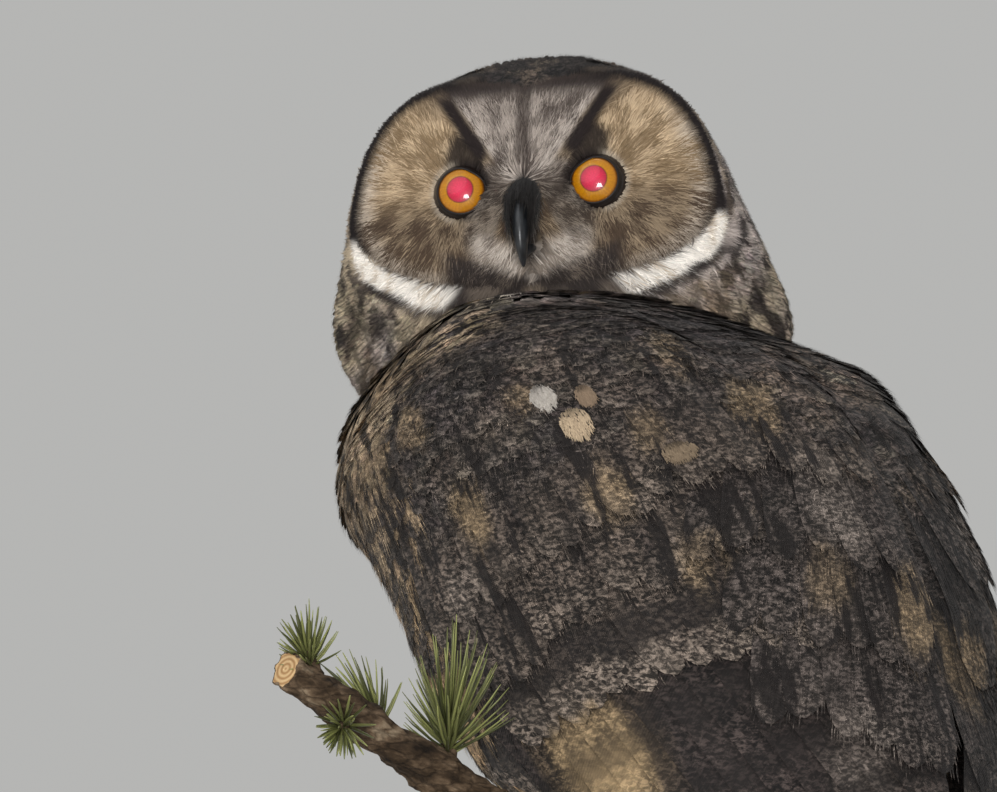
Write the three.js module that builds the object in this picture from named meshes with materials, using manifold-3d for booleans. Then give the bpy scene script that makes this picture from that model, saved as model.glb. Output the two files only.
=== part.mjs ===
// A long-eared owl at life size, perched on a short cut branch on a plain display stand.
// The body faces -Y and its left side is +X. The head is turned back over the left shoulder.
// The origin is the centre of the base's underside. Lengths are millimetres.
import * as THREE from 'three';
import { mergeVertices } from 'three/addons/utils/BufferGeometryUtils.js';
import Module from 'manifold-3d';

const wasm = await Module();
wasm.setup();

// Clearance that touching pieces keep
const gap = 0.35;

// Body: the axis runs from the rump up to the neck
const perchHeight = 145;
const bodyLean = THREE.MathUtils.degToRad(65);
const bodyCentre = new THREE.Vector3(0, -14, perchHeight + 80);
const bodyUp = new THREE.Vector3(0, -Math.cos(bodyLean), Math.sin(bodyLean));
const bellyward = new THREE.Vector3(0, -Math.sin(bodyLean), -Math.cos(bodyLean));
// Each section: place along the axis, half width, depth of the belly side, depth of the back side
const bodySections = [
  [-105, 27, 7, 24],
  [-90, 33, 8, 33],
  [-75, 40, 11, 42],
  [-65, 45, 24, 48],
  [-55, 51, 38, 55],
  [-40, 57, 51, 59],
  [-10, 60, 56, 59],
  [20, 63, 58, 55],
  [36, 64.5, 66, 50],
  [46, 63.5, 72, 44],
  [54, 61, 73, 38],
  [62, 57.5, 71, 30],
  [70, 52, 68, 20],
  [78, 45, 62, 8],
];
// The surface that the folded wings lie on runs straight on from the body to the wing tips
const wingSections = [
  [-222, 17, 4, 9],
  [-190, 23.5, 5, 17],
  [-160, 29, 7, 25],
  [-130, 35, 9, 33],
  [-105, 40, 14, 41],
  [-90, 43.5, 18, 46],
  [-75, 47, 27, 51],
  ...bodySections.filter(([along]) => along > -60),
];
const torsoEnds = [-100, 48];
const neckEnds = [torsoEnds[1] + gap, 68];
const torsoRings = 13;
const neckRings = 4;
// Rounded top of the neck under the back of the turned head: place, share of the full size, shift
const neckDome = [[73, 0.84, 5], [77, 0.62, 10]];
const torsoSides = 26;

// Tail: the middle pair lies on top and each feather further out a step lower
const tailTip = -203;
const tailFeathers = 6;
const tailFeatherHalfWidth = 10.5;
const tailSpread = 2.7;
const tailStep = 0.9;
// The first pairs cross, so each of their feathers has a step of its own
const tailPairsApart = 3;
// How much shorter the outer feathers grow
const tailTipStep = 0.5;
const tailRoot = -112;
// Height of the top feather over the body's axis
const tailTop = 5.8;
// Root of the tail: place along the body, half width, half depth
const tailCore = [
  [-102, 23, 13],
  [-112, 19, 9.5],
  [-128, 10, 4.5],
];
const tailCoreRise = 2.5;

// Wing: angles are counted round the body from the middle of the back, in degrees
const armOutline = [
  [-58, 30, 112],
  [-40, 26, 128],
  [-15, 26, 134],
  [0, 27, 133],
  [30, 30, 125],
  [50, 40, 112],
  [60, 56, 94],
];
// Thickness of the folded arm along it, before its edges round off
const armThickness = [
  [-58, 3.2], [-42, 6.5], [-25, 9.2], [-8, 10.6], [8, 11.6], [24, 12.6], [38, 12], [50, 8.5], [60, 3],
];
// Primaries, outermost first: where each tip lies
const primaryTips = [[-203, 40], [-217, 32], [-212, 29], [-200, 27], [-184, 27], [-166, 28]];
// Rows of wing feathers, each from its front feather to its innermost one.
// Root and tip are places along the body and round it, sink is how deep the root lies in the arm.
const wingRows = [
  {
    count: primaryTips.length, root: [[8, 114], [-8, 106]], tips: primaryTips,
    height: [1.1, 5.6], halfWidth: [6.5, 8], tilt: 0.2, bend: 2, thickness: 0.5, shape: 'long',
  },
  {
    count: 7, root: [[20, 104], [-10, 38]], tip: [[-120, 88], [-92, 8]], sink: [5.5, 6],
    height: [7.2, 4.2], halfWidth: [9.5, 10.5], tilt: 1.5, bend: 1.5, thickness: 0.6, shape: 'broad',
  },
  {
    count: 3, root: [[22, 124], [18, 110]], tip: [[-38, 129], [-54, 112]], sink: [3.5, 4],
    height: [3.6, 5.4], halfWidth: [5.4, 5.8], tilt: 0.5, bend: 1, thickness: 0.6, shape: 'cover',
  },
  {
    count: 6, root: [[22, 100], [4, 42]], tip: [[-54, 97], [-46, 34]], sink: [3, 3],
    height: [9, 8], halfWidth: [7, 7.2], tilt: 0.6, bend: 1, thickness: 0.6, shape: 'cover',
  },
  {
    count: 6, root: [[40, 100], [24, 44]], tip: [[-26, 102], [-20, 38]], sink: [2.4, 2.4],
    height: [11.2, 10.6], halfWidth: [7.2, 7.2], tilt: 0.6, bend: 1, thickness: 0.6, shape: 'cover',
  },
];

// How deep the wing's and scapulars' pads reach into the trunk before they are cut to it
const padSink = 1.5;

// Scapulars, the feathers that hang over the inner edge of each wing
const scapularOutline = [
  [-50, 3, 12],
  [-30, 2.5, 19],
  [0, 2.5, 23],
  [20, 2.5, 25],
  [42, 5, 16],
];
const scapularThickness = [[-50, 4], [-30, 7.5], [-8, 10.5], [10, 11.5], [26, 8.5], [42, 2]];
const scapularRows = [
  {
    count: 4, root: [[-6, 21], [-22, 8]], tip: [[-62, 50], [-80, 12]], sink: [4, 4],
    height: [9, 7], halfWidth: [7.2, 7.2], tilt: 0.9, bend: 1, thickness: 0.6, shape: 'cover',
  },
  {
    count: 3, root: [[20, 20], [8, 8]], tip: [[-22, 50], [-46, 12]], sink: [2.6, 2.6],
    height: [10.8, 9.6], halfWidth: [8.4, 8.4], tilt: 0.9, bend: 1, thickness: 0.6, shape: 'cover',
  },
];
// Outlines of a feather: share of its length, share of its half width
const featherShapes = {
  broad: [[0, 0.55], [0.45, 0.95], [0.86, 0.9], [1, 0.3]],
  long: [[0, 0.7], [0.35, 1], [0.65, 1], [0.9, 0.8], [1, 0.3]],
  tail: [[0, 0.6], [0.45, 0.92], [0.93, 1], [1, 0.62]],
  tuft: [[0, 0.45], [0.5, 1], [1, 0.3]],
  cover: [[0, 0.6], [0.5, 1], [0.87, 0.82], [1, 0.35]],
  lock: [[0, 0.8], [0.4, 1], [0.75, 0.9], [1, 0.35]],
};

// Head
const headCentre = new THREE.Vector3(0, -54, perchHeight + 174);
const headTurn = THREE.MathUtils.degToRad(118.5);
const headPitch = THREE.MathUtils.degToRad(4);
const headRoll = THREE.MathUtils.degToRad(2.6);
const headHalfWidth = 47.5;
const crownRise = 41;
const headBack = 40;
// Outline of the head behind the disc, fuller below where the nape begins: angle from the top, radius
const headOutline = [
  [0, 41], [30, 42.5], [60, 44.5], [90, 48.5], [104, 53.5], [118, 60], [137, 62], [155, 55], [180, 46],
];
// The turned neck bunches under the left cheek: extra radius there
const cheekSwelling = [[85, 0], [104, 3], [120, 8], [135, 7], [155, 3], [175, 0]];
// Facial disc, about a point between and below the eyes: rim radii up, diagonal, side, low, down
const discCentreUp = 0;
const discRadii = [
  [0, 29], [28, 36], [44, 41.2], [60, 43.8], [80, 44.6], [97, 44.8], [108, 40], [120, 33.5], [132, 28.5],
  [150, 22.5], [180, 20.5],
];
const discRimForward = [[0, 18], [90, 13], [180, 19]];
const discCentreForward = 24;
const browRidge = 5;
const browRidgeHalfWidth = 6;
// The face sinks a little round each eye
const eyeHollow = 2;
const eyeHollowRadius = 11;
// Rings of the head: shares of the way out over the face, then degrees back over the skull
const headSides = 30;
const faceShares = [0.15, 0.35, 0.55, 0.75, 1];
const skullTurns = [-6, 20, 46, 68];

// Eyes and lids
const eyeSide = 16.6;
const eyeUp = 3.6;
const eyeForward = 15.6;
const eyeRadius = 8.4;
// Section of the lids: distance from the eye's axis and place forward; they are wider than high
const lidProfile = [[5.5, 16], [5.5, 23.2], [6.5, 23.6], [9, 20.6], [9, 16], [5.5, 16]];
const lidStretch = [1.05, 0.97];

// Bill
const billSpine = [
  [24, 1.5, 4.2, 3.6],
  [29, -1.5, 4.3, 3.8],
  [32.6, -7, 3.6, 3.2],
  [33.2, -12.8, 2.5, 2.3],
  [31.4, -17.5, 1.1, 1.1],
];
const billTip = [29.6, -19.8];
const nostrilPlace = [4.3, 30, -4.4];
const nostrilRadius = 1.1;
const lowerBillSpine = [
  [22, -12, 3.6, 1.6],
  [26.5, -14.6, 3, 1.4],
  [29, -17.2, 1.7, 1],
];
const lowerBillTip = [29.6, -18.7];

// Ear tufts, laid back flat on the crown
const tuftRootSide = 17;
const tuftRootBack = -8;
const tuftFeathers = 4;
const tuftLength = 33;
// Half sizes of the root that the tuft's feathers share: sideways, back and up
const tuftRootSize = [4.5, 6, 2.4];
const tuftHalfWidth = 3;
// Sideways between neighbouring roots, and how far the tuft and its outer feathers swing out
const tuftRootStep = 1.7;
const tuftSwing = 5;
const tuftFan = 4.4;
// Height over the crown at the root, and the rise from there to the tip
const tuftHeights = [1.2, 2.6];
// How far the middle of a broad vane stands above its edges
const middleRise = 0.3;

// Ruff round the facial disc: shares of the rim's radius, heights over the head, steps back from the rim
const ruffFeathers = 30;
const ruffWidthShare = 0.085;
const ruffChin = 150;
const ruffThickness = 0.8;
const ruffShares = [0.86, 0.94, 1.01, 1.06];
const ruffLifts = [-1.4, 1.2, 2.2, -1.2];

// Branch and what grips it
const perchRadius = 8.5;
// Radius of the branch along it, even where the feet grip
const perchRadii = [[-82, 9.8], [-34, 8.5], [34, 8.5], [95, 5.4], [152, 4.3]];
const perchY = -8;
const perchRise = THREE.MathUtils.degToRad(21);
const perchEnds = [-84, 156];
const perchSides = 12;
// Slow swellings along the bark, left out where the feet grip
const perchSwelling = 0.5;
const perchGrip = 34;
const footSide = 20;
const toeRadius = 3.8;
// How far inside the toe's outer side the branch presses into it
const toePress = 0.8;
// Foot and feathered leg: height of the ankle over the branch, radii, and where the leg enters the belly
const ankleHeight = 8;
const palmRadius = 5.4;
const legRadii = [11, 8, 6];
const hip = { along: -34, round: 155, depth: 22 };
// Degrees round the branch by which the toe ends before its claw, and the claw's own start and end
const toeShort = 18;
const clawSpan = [-22, 24];
// Claws: radii along them and how far they arch away from the branch
const clawRadii = [2, 1.7, 1.1, 0.35];
const clawLifts = [0, 1.3, 1.5, 0.4];
// Toes: name, which way round the branch, splay along it, how far round the toe and its claw go
const toes = [
  ['inner', 1, -9, 92],
  ['middle', 1, 5, 104],
  ['outer', -1, 8, 84],
  ['hind', -1, -7, 72],
];

// Tuft of needles on the branch: its place along it, and the needles' number, length and half thickness
const needleTuftPlace = 98;
const needleCount = 20;
const needleLength = 25;
const needleHalfWidth = 0.6;
const twigLength = 8;
const twigRadii = [2.4, 2];
// Which way the shoot grows, how far its needles lean out at its foot and its tip, and how they bend in
const twigRise = new THREE.Vector3(0.1, 0.05, 1);
const needleLean = [1.12, 0.12];
const needleBend = 0.12;

// Stand
const baseRadius = 92;
const baseThickness = 14;
const baseBevel = 2.5;
const rodRadius = 4;
const rodPlaces = [-60, 58];

const finishes = {
  coat: { color: 0x4c4542, roughness: 0.85, metalness: 0 },
  nape: { color: 0x6a6262, roughness: 0.85, metalness: 0 },
  face: { color: 0x9c8468, roughness: 0.85, metalness: 0 },
  eye: { color: 0xb8700f, roughness: 0.08, metalness: 0 },
  horn: { color: 0x2b2a2c, roughness: 0.35, metalness: 0 },
  foot: { color: 0xa98f6c, roughness: 0.85, metalness: 0 },
  bark: { color: 0x5c4a3c, roughness: 0.95, metalness: 0 },
  needle: { color: 0x5f6b45, roughness: 0.6, metalness: 0 },
  wood: { color: 0x3a2a20, roughness: 0.4, metalness: 0 },
  steel: { color: 0x8c8f92, roughness: 0.35, metalness: 1 },
};

const owl = new THREE.Group();

// Smooth value between the rows of a table whose first column rises
function tableValue(table, at, column) {
  const last = table.length - 1;
  if (at <= table[0][0]) return table[0][column];
  if (at >= table[last][0]) return table[last][column];
  let row = 0;
  while (table[row + 1][0] < at) row += 1;
  const slope = (i) => {
    const before = table[Math.max(i - 1, 0)];
    const after = table[Math.min(i + 1, last)];
    return (after[column] - before[column]) / (after[0] - before[0]);
  };
  const [x0, x1] = [table[row][0], table[row + 1][0]];
  const [y0, y1] = [table[row][column], table[row + 1][column]];
  const span = x1 - x0;
  const s = (at - x0) / span;
  const curve = (1 + 2 * s) * (1 - s) ** 2 * y0 + s * (1 - s) ** 2 * span * slope(row);
  return curve + s * s * (3 - 2 * s) * y1 + s * s * (s - 1) * span * slope(row + 1);
}

// Angles evenly round a full turn, in radians
function circle(count) {
  return Array.from({ length: count }, (_, i) => 2 * Math.PI * i / count);
}

// Evenly spaced values, both ends included
function spread(from, to, count) {
  return Array.from({ length: count }, (_, i) => from + (to - from) * i / (count - 1));
}

function solid(points, faces) {
  const vertProperties = new Float32Array(points.flatMap((p) => [p.x, p.y, p.z]));
  const triVerts = new Uint32Array(faces.flat());
  return new wasm.Manifold(new wasm.Mesh({ numProp: 3, vertProperties, triVerts }));
}

// A three.js geometry, moved into place by a function, as a solid
function geometrySolid(geometry, place = (p) => p) {
  geometry.deleteAttribute('normal');
  geometry.deleteAttribute('uv');
  const merged = mergeVertices(geometry, 1e-4);
  const position = merged.getAttribute('position');
  const points = [];
  for (let i = 0; i < position.count; i += 1) {
    points.push(place(new THREE.Vector3().fromBufferAttribute(position, i)));
  }
  const index = Array.from(merged.getIndex().array);
  const faces = [];
  for (let i = 0; i < index.length; i += 3) faces.push(index.slice(i, i + 3));
  return outward(points, faces);
}

// Rings of equal count joined into a closed form, its ends closed to their middle or to a tip
function loft(rings, startPoint = null, endPoint = null) {
  const count = rings[0].length;
  const points = rings.flat();
  const faces = [];
  for (let r = 0; r < rings.length - 1; r += 1) {
    for (let k = 0; k < count; k += 1) {
      const [a, b] = [r * count + k, r * count + (k + 1) % count];
      faces.push([a, b, b + count], [a, b + count, a + count]);
    }
  }
  const middle = (ring) => ring.reduce((sum, p) => sum.add(p), new THREE.Vector3()).divideScalar(count);
  const first = points.push(startPoint ?? middle(rings[0])) - 1;
  const last = points.push(endPoint ?? middle(rings[rings.length - 1])) - 1;
  const top = (rings.length - 1) * count;
  for (let k = 0; k < count; k += 1) {
    faces.push([first, (k + 1) % count, k], [last, top + k, top + (k + 1) % count]);
  }
  return outward(points, faces);
}

// A closed solid whichever way round its faces were listed
function outward(points, faces) {
  let volume = 0;
  for (const [a, b, c] of faces) {
    volume += points[a].dot(new THREE.Vector3().crossVectors(points[b], points[c]));
  }
  return solid(points, volume < 0 ? faces.map(([a, b, c]) => [a, c, b]) : faces);
}

// A thin closed slab between two grids of points, split alike on both faces
function slab(outer, inner) {
  const [rows, columns] = [outer.length, outer[0].length];
  const points = [...outer.flat(), ...inner.flat()];
  const under = rows * columns;
  const faces = [];
  const quad = (a, b, c, d) => faces.push([a, b, c], [a, c, d]);
  for (let i = 0; i < rows - 1; i += 1) {
    for (let j = 0; j < columns - 1; j += 1) {
      const [a, b] = [i * columns + j, i * columns + j + 1];
      const [c, d] = [b + columns, a + columns];
      quad(a, b, c, d);
      faces.push([under + a, under + c, under + b], [under + a, under + d, under + c]);
    }
  }
  const edge = [];
  for (let j = 0; j < columns; j += 1) edge.push(j);
  for (let i = 1; i < rows; i += 1) edge.push(i * columns + columns - 1);
  for (let j = columns - 2; j >= 0; j -= 1) edge.push((rows - 1) * columns + j);
  for (let i = rows - 2; i > 0; i -= 1) edge.push(i * columns);
  edge.forEach((a, k) => {
    const b = edge[(k + 1) % edge.length];
    quad(b, a, under + a, under + b);
  });
  return outward(points, faces);
}

const union = (solids) => wasm.Manifold.union(solids);

// Only the largest closed surface of a solid, its outer skin
function largest(shape) {
  return shape.decompose().reduce((best, piece) => (piece.volume() > best.volume() ? piece : best));
}

function addNode(name, shape, finish) {
  const { vertProperties, triVerts, numProp } = largest(shape).getMesh();
  if (numProp !== 3) throw new Error(`${name} carries more than positions`);
  const geometry = new THREE.BufferGeometry();
  geometry.setAttribute('position', new THREE.BufferAttribute(new Float32Array(vertProperties), 3));
  geometry.setIndex(Array.from(triVerts));
  geometry.computeVertexNormals();
  const mesh = new THREE.Mesh(geometry, new THREE.MeshStandardMaterial(finishes[finish]));
  mesh.name = name;
  owl.add(mesh);
}

// A point by its place along the body axis, angle round it from the back, and height over it
function onBody(along, degrees, height, sections = bodySections) {
  const angle = THREE.MathUtils.degToRad(degrees);
  const halfWidth = tableValue(sections, along, 1) + height;
  const column = Math.cos(angle) < 0 ? 2 : 3;
  const depth = tableValue(sections, along, column) + height;
  return bodyCentre.clone()
    .addScaledVector(bodyUp, along)
    .addScaledVector(bellyward, -depth * Math.cos(angle))
    .add(new THREE.Vector3(halfWidth * Math.sin(angle), 0, 0));
}

function bodyRing(along, height) {
  return circle(torsoSides).map((angle) => onBody(along, THREE.MathUtils.radToDeg(angle), height));
}

function bodyStretch([from, to], height, rings) {
  return loft(spread(from, to, rings).map((along) => bodyRing(along, height)));
}

// The trunk with its neck, swollen by the clearance
function trunkClear() {
  const places = [...spread(...torsoEnds, torsoRings), ...spread(...neckEnds, neckRings)];
  places[0] -= gap;
  return loft(places.map((along) => bodyRing(along, gap)));
}

// A feather as a thin curved vane. place gives a point from a share of its length,
// a distance across it and a height; the middle of a wide vane is raised a little.
function vane(place, { halfWidth, thickness, shape }) {
  const half = thickness / 2;
  const wide = shape === 'broad';
  const columns = wide ? [[-1, 0], [0, middleRise], [1, 0]] : [[-1, 0], [1, 0]];
  const outer = [];
  const inner = [];
  for (const [share, widthShare] of featherShapes[shape]) {
    const width = halfWidth * widthShare;
    outer.push(columns.map(([across, raised]) => place(share, across * width, raised + half)));
    inner.push(columns.map(([across, raised]) => place(share, across * width, raised - half)));
  }
  return slab(outer, inner);
}

// Head coordinates: left, forward and up from the head's centre
const headForward = new THREE.Vector3(
  Math.sin(headTurn) * Math.cos(headPitch), -Math.cos(headTurn) * Math.cos(headPitch), Math.sin(headPitch),
);
const levelLeft = new THREE.Vector3(0, 0, 1).cross(headForward).normalize();
const levelUp = headForward.clone().cross(levelLeft).normalize();
const headLeft = levelLeft.clone().multiplyScalar(Math.cos(headRoll))
  .addScaledVector(levelUp, Math.sin(headRoll));
const headUp = levelUp.clone().multiplyScalar(Math.cos(headRoll))
  .addScaledVector(levelLeft, -Math.sin(headRoll));

function inHead(left, forward, up) {
  return headCentre.clone()
    .addScaledVector(headLeft, left)
    .addScaledVector(headForward, forward)
    .addScaledVector(headUp, up);
}

const foldedAngle = (degrees) => Math.abs(((degrees + 180) % 360) - 180);

// How far forward the face lies at a place on it, given as a share of the way out to the disc's rim
function faceForward(left, up, share, rimForward) {
  const dome = discCentreForward + (rimForward - discCentreForward) * share ** 2;
  const ridgeShare = Math.exp(-((left / browRidgeHalfWidth) ** 2)) * Math.max(0, 1 - (share * 0.95) ** 2);
  const [aside, above] = [(Math.abs(left) - eyeSide) / eyeHollowRadius, (up - eyeUp) / eyeHollowRadius];
  return dome + browRidge * ridgeShare - eyeHollow * Math.exp(-(aside ** 2) - above ** 2);
}

function headSolid(height) {
  const rings = [];
  for (const share of faceShares) {
    rings.push(circle(headSides).map((radians) => {
      const angle = THREE.MathUtils.radToDeg(radians);
      const radius = tableValue(discRadii, foldedAngle(angle), 1) * share + height * share;
      const [left, up] = [radius * Math.sin(radians), discCentreUp + radius * Math.cos(radians)];
      const rim = tableValue(discRimForward, foldedAngle(angle), 1);
      return inHead(left, faceForward(left, up, share, rim) + height, up);
    }));
  }
  for (const turn of skullTurns) {
    const radians = THREE.MathUtils.degToRad(turn);
    const back = (headBack + height) * Math.sin(radians);
    rings.push(circle(headSides).map((round) => {
      const near = foldedAngle(THREE.MathUtils.radToDeg(round));
      const swelling = Math.sin(round) > 0 ? tableValue(cheekSwelling, near, 1) : 0;
      const radius = (tableValue(headOutline, near, 1) + swelling + height) * Math.cos(radians);
      return inHead(radius * Math.sin(round), -back, radius * Math.cos(round));
    }));
  }
  const front = inHead(0, faceForward(0, discCentreUp, 0, 0) + height, discCentreUp);
  return loft(rings, front, inHead(0, -headBack - height, 0));
}

function eyeball(side, extra) {
  const sphere = new THREE.SphereGeometry(eyeRadius + extra, 14, 9);
  return geometrySolid(sphere, (p) => inHead(side * eyeSide + p.x, eyeForward + p.y, eyeUp + p.z));
}

// Ring of the two lids, a low cone round the eye
function lidRing(side) {
  const [wide, high] = lidStretch;
  const lathe = new THREE.LatheGeometry(lidProfile.map(([r, y]) => new THREE.Vector2(r, y)), 12);
  return geometrySolid(lathe, (p) => inHead(side * eyeSide + p.x * wide, p.y, eyeUp + p.z * high));
}

// A horn form along a spine in the head's middle plane: forward, up, half width, half depth
function hornOnSpine(spine, tip) {
  const rings = spine.map(([forward, up, halfWidth, halfDepth], i) => {
    const [f0, u0] = i ? spine[i - 1] : spine[0];
    const [f1, u1] = i < spine.length - 1 ? spine[i + 1] : tip;
    const along = new THREE.Vector2(f1 - f0, u1 - u0).normalize();
    return circle(10).map((angle) => {
      const out = halfDepth * Math.cos(angle);
      return inHead(halfWidth * Math.sin(angle), forward - along.y * out, up + along.x * out);
    });
  });
  return loft(rings, null, inHead(0, tip[0], tip[1]));
}

// A small round pit in the side of the upper bill
function nostril(side) {
  const pit = new THREE.SphereGeometry(nostrilRadius, 8, 6);
  const [left, forward, up] = nostrilPlace;
  return geometrySolid(pit, (p) => inHead(side * left + p.x, forward + p.y, up + p.z));
}

// The upper bill swollen by the clearance
function billClear() {
  const spine = billSpine.map(([forward, up, width, depth]) => [forward, up, width + gap, depth + gap]);
  return hornOnSpine(spine, [billTip[0], billTip[1] - gap]);
}

function buildHead() {
  const cuts = union([eyeball(1, gap), eyeball(-1, gap)]);
  const bill = hornOnSpine(billSpine, billTip);
  const lowerBill = hornOnSpine(lowerBillSpine, lowerBillTip);
  const skull = headSolid(0);
  const around = headSolid(gap);
  addNode('head', union([skull, lidRing(1), lidRing(-1), ...ruffVanes()]).subtract(cuts), 'face');
  addNode('bill_upper', bill.subtract(union([around, nostril(1), nostril(-1)])), 'horn');
  addNode('bill_lower', lowerBill.subtract(union([around, billClear()])), 'horn');
  for (const [word, side] of [['left', 1], ['right', -1]]) {
    addNode(`eye_${word}`, eyeball(side, 0), 'eye');
    addNode(`ear_tuft_${word}`, earTuft(side).subtract(around), 'nape');
  }
}

// A point a given height over the crown
function onCrown(left, back, height) {
  const share = 1 - (left / headHalfWidth) ** 2 - (back / headBack) ** 2;
  return inHead(left, -back, crownRise * Math.sqrt(Math.max(share, 0.02)) + height);
}

// Flat feathers that lie back over the crown, the middle ones longest
function earTuft(side) {
  const feathers = [];
  for (let i = 0; i < tuftFeathers; i += 1) {
    const fan = i - (tuftFeathers - 1) / 2;
    const length = tuftLength * (1 - 0.09 * Math.abs(fan));
    const [low, rise] = tuftHeights;
    const place = (share, across, height) => {
      const swing = share * (tuftSwing + tuftFan * fan);
      const left = side * (tuftRootSide + tuftRootStep * fan + swing) + across;
      return onCrown(left, tuftRootBack + length * share, low + rise * Math.sqrt(share) + height);
    };
    feathers.push(vane(place, { halfWidth: tuftHalfWidth, thickness: 0.7, shape: 'tuft' }));
  }
  const root = new THREE.SphereGeometry(1, 8, 6);
  const middle = tuftRootBack + tuftRootSize[1] * 0.6;
  feathers.push(geometrySolid(root, (p) => onCrown(
    side * (tuftRootSide + 1) + p.x * tuftRootSize[0],
    middle + p.y * tuftRootSize[1],
    1 + p.z * tuftRootSize[2],
  )));
  return union(feathers);
}

// Short stiff feathers that stand round the rim of the facial disc and fold back over it
function ruffVanes(swell = 0) {
  const shape = featherShapes.lock;
  const angles = circle(ruffFeathers).map(THREE.MathUtils.radToDeg);
  return angles.filter((angle) => foldedAngle(angle) < ruffChin).map((angle) => {
    const radians = THREE.MathUtils.degToRad(angle);
    const radius = tableValue(discRadii, foldedAngle(angle), 1);
    const rim = tableValue(discRimForward, foldedAngle(angle), 1);
    const place = (share, across, height) => {
      const step = shape.findIndex(([at]) => at === share);
      const out = radius * ruffShares[step] + (step === 3 ? height : 0);
      const [x, z] = [out * Math.sin(radians), discCentreUp + out * Math.cos(radians)];
      const inside = Math.min(ruffShares[step], 1);
      const [left, up] = [x + across * Math.cos(radians), z - across * Math.sin(radians)];
      const forward = faceForward(x, z, inside, rim) + ruffLifts[step] + (step === 3 ? 0 : height);
      return inHead(left, forward, up);
    };
    return vane(place, {
      halfWidth: radius * ruffWidthShare + swell, thickness: ruffThickness + 2 * swell, shape: 'lock',
    });
  });
}

function buildTrunk() {
  addNode('torso', bodyStretch(torsoEnds, 0, torsoRings).subtract(headSolid(gap)), 'coat');
  const level = headForward.clone().setZ(0).normalize();
  const domed = neckDome.map(([along, share, shift]) => bodyRing(along, 0).map((point) => point
    .lerp(bodyCentre.clone().addScaledVector(bodyUp, along), 1 - share)
    .addScaledVector(level, -shift)));
  const neck = loft([...spread(...neckEnds, neckRings).map((along) => bodyRing(along, 0)), ...domed]);
  addNode('neck', neck.subtract(union([headSolid(gap), billClear(), ...ruffVanes(gap)])), 'nape');
  addNode('tail', buildTail(), 'coat');
}

// A point by its place along the body axis, sideways, and above the axis on the back side
function onAxis(along, sideways, over) {
  return bodyCentre.clone()
    .addScaledVector(bodyUp, along)
    .addScaledVector(bellyward, -over)
    .add(new THREE.Vector3(sideways, 0, 0));
}

function buildTail() {
  const core = loft(tailCore.map(([along, halfWidth, depth]) => circle(14).map((angle) => (
    onAxis(along, halfWidth * Math.sin(angle), tailCoreRise + depth * Math.cos(angle))
  ))));
  const feathers = [];
  for (let i = 0; i < tailFeathers; i += 1) {
    for (const side of [1, -1]) {
      const layer = i < tailPairsApart ? 2 * i + (side < 0 ? 1 : 0) : i + tailPairsApart;
      const over = tailTop - tailStep * layer;
      const tip = tailTip + tailTipStep * i ** 1.7;
      const place = (share, across, height) => {
        const out = side * (1 + tailSpread * i * (0.45 + 0.55 * share));
        return onAxis(tailRoot + (tip - tailRoot) * share, out + across, over + height);
      };
      feathers.push(vane(place, { halfWidth: tailFeatherHalfWidth, thickness: 0.55, shape: 'tail' }));
    }
  }
  return union([core, ...feathers]);
}

// Height of a pad that thins to its edges
function padHeight(outline, thickness, along, degrees) {
  const inner = tableValue(outline, along, 1);
  const outer = tableValue(outline, along, 2);
  const share = THREE.MathUtils.clamp((degrees - inner) / (outer - inner), 0, 1);
  return tableValue(thickness, along, 1) * (0.6 + 0.4 * Math.sin(Math.PI * share) ** 0.6);
}

// A pad laid on the body between two edges that change along it
function padSlab(side, outline, thickness, rows, columns, swell = 0) {
  const [from, to] = [outline[0][0], outline[outline.length - 1][0]];
  const grid = (height) => spread(from, to, rows).map((along) => {
    const [inner, outer] = [tableValue(outline, along, 1), tableValue(outline, along, 2)];
    return spread(inner, outer, columns)
      .map((degrees) => onBody(along, side * degrees, height(along, degrees)));
  });
  const top = (along, degrees) => padHeight(outline, thickness, along, degrees) + swell;
  return slab(grid(top), grid(() => -padSink));
}

// A point beside and above a feather's own middle line, in the plane that touches the wing there
function overWing(along, degrees, level, across, height) {
  const middle = onBody(along, degrees, level, wingSections);
  const sideways = onBody(along, degrees + 2, level, wingSections)
    .sub(onBody(along, degrees - 2, level, wingSections)).normalize();
  const out = onBody(along, degrees, level + 1, wingSections).sub(middle);
  out.addScaledVector(sideways, -out.dot(sideways)).normalize();
  return middle.addScaledVector(sideways, across).addScaledVector(out, height);
}

function featherRow(side, row, outline, padThickness, swell = 0) {
  const feathers = [];
  for (let i = 0; i < row.count; i += 1) {
    const share = i / (row.count - 1);
    const between = ([a, b]) => a + (b - a) * share;
    const pair = ([a, b]) => [a[0] + (b[0] - a[0]) * share, a[1] + (b[1] - a[1]) * share];
    const [root, tip] = [pair(row.root), row.tips ? row.tips[i] : pair(row.tip)];
    const pad = padHeight(outline, padThickness, ...root);
    const top = row.sink ? pad - between(row.sink) : between(row.height);
    const halfWidth = between(row.halfWidth);
    const place = (at, across, height) => {
      const along = root[0] + (tip[0] - root[0]) * at;
      const degrees = root[1] + (tip[1] - root[1]) * at ** row.bend;
      const level = top + (between(row.height) - top) * at;
      return overWing(along, side * degrees, level, side * across, row.tilt * across / halfWidth + height);
    };
    feathers.push(vane(place, {
      shape: row.shape, halfWidth: halfWidth + swell, thickness: row.thickness + 2 * swell,
    }));
  }
  return feathers;
}

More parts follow.
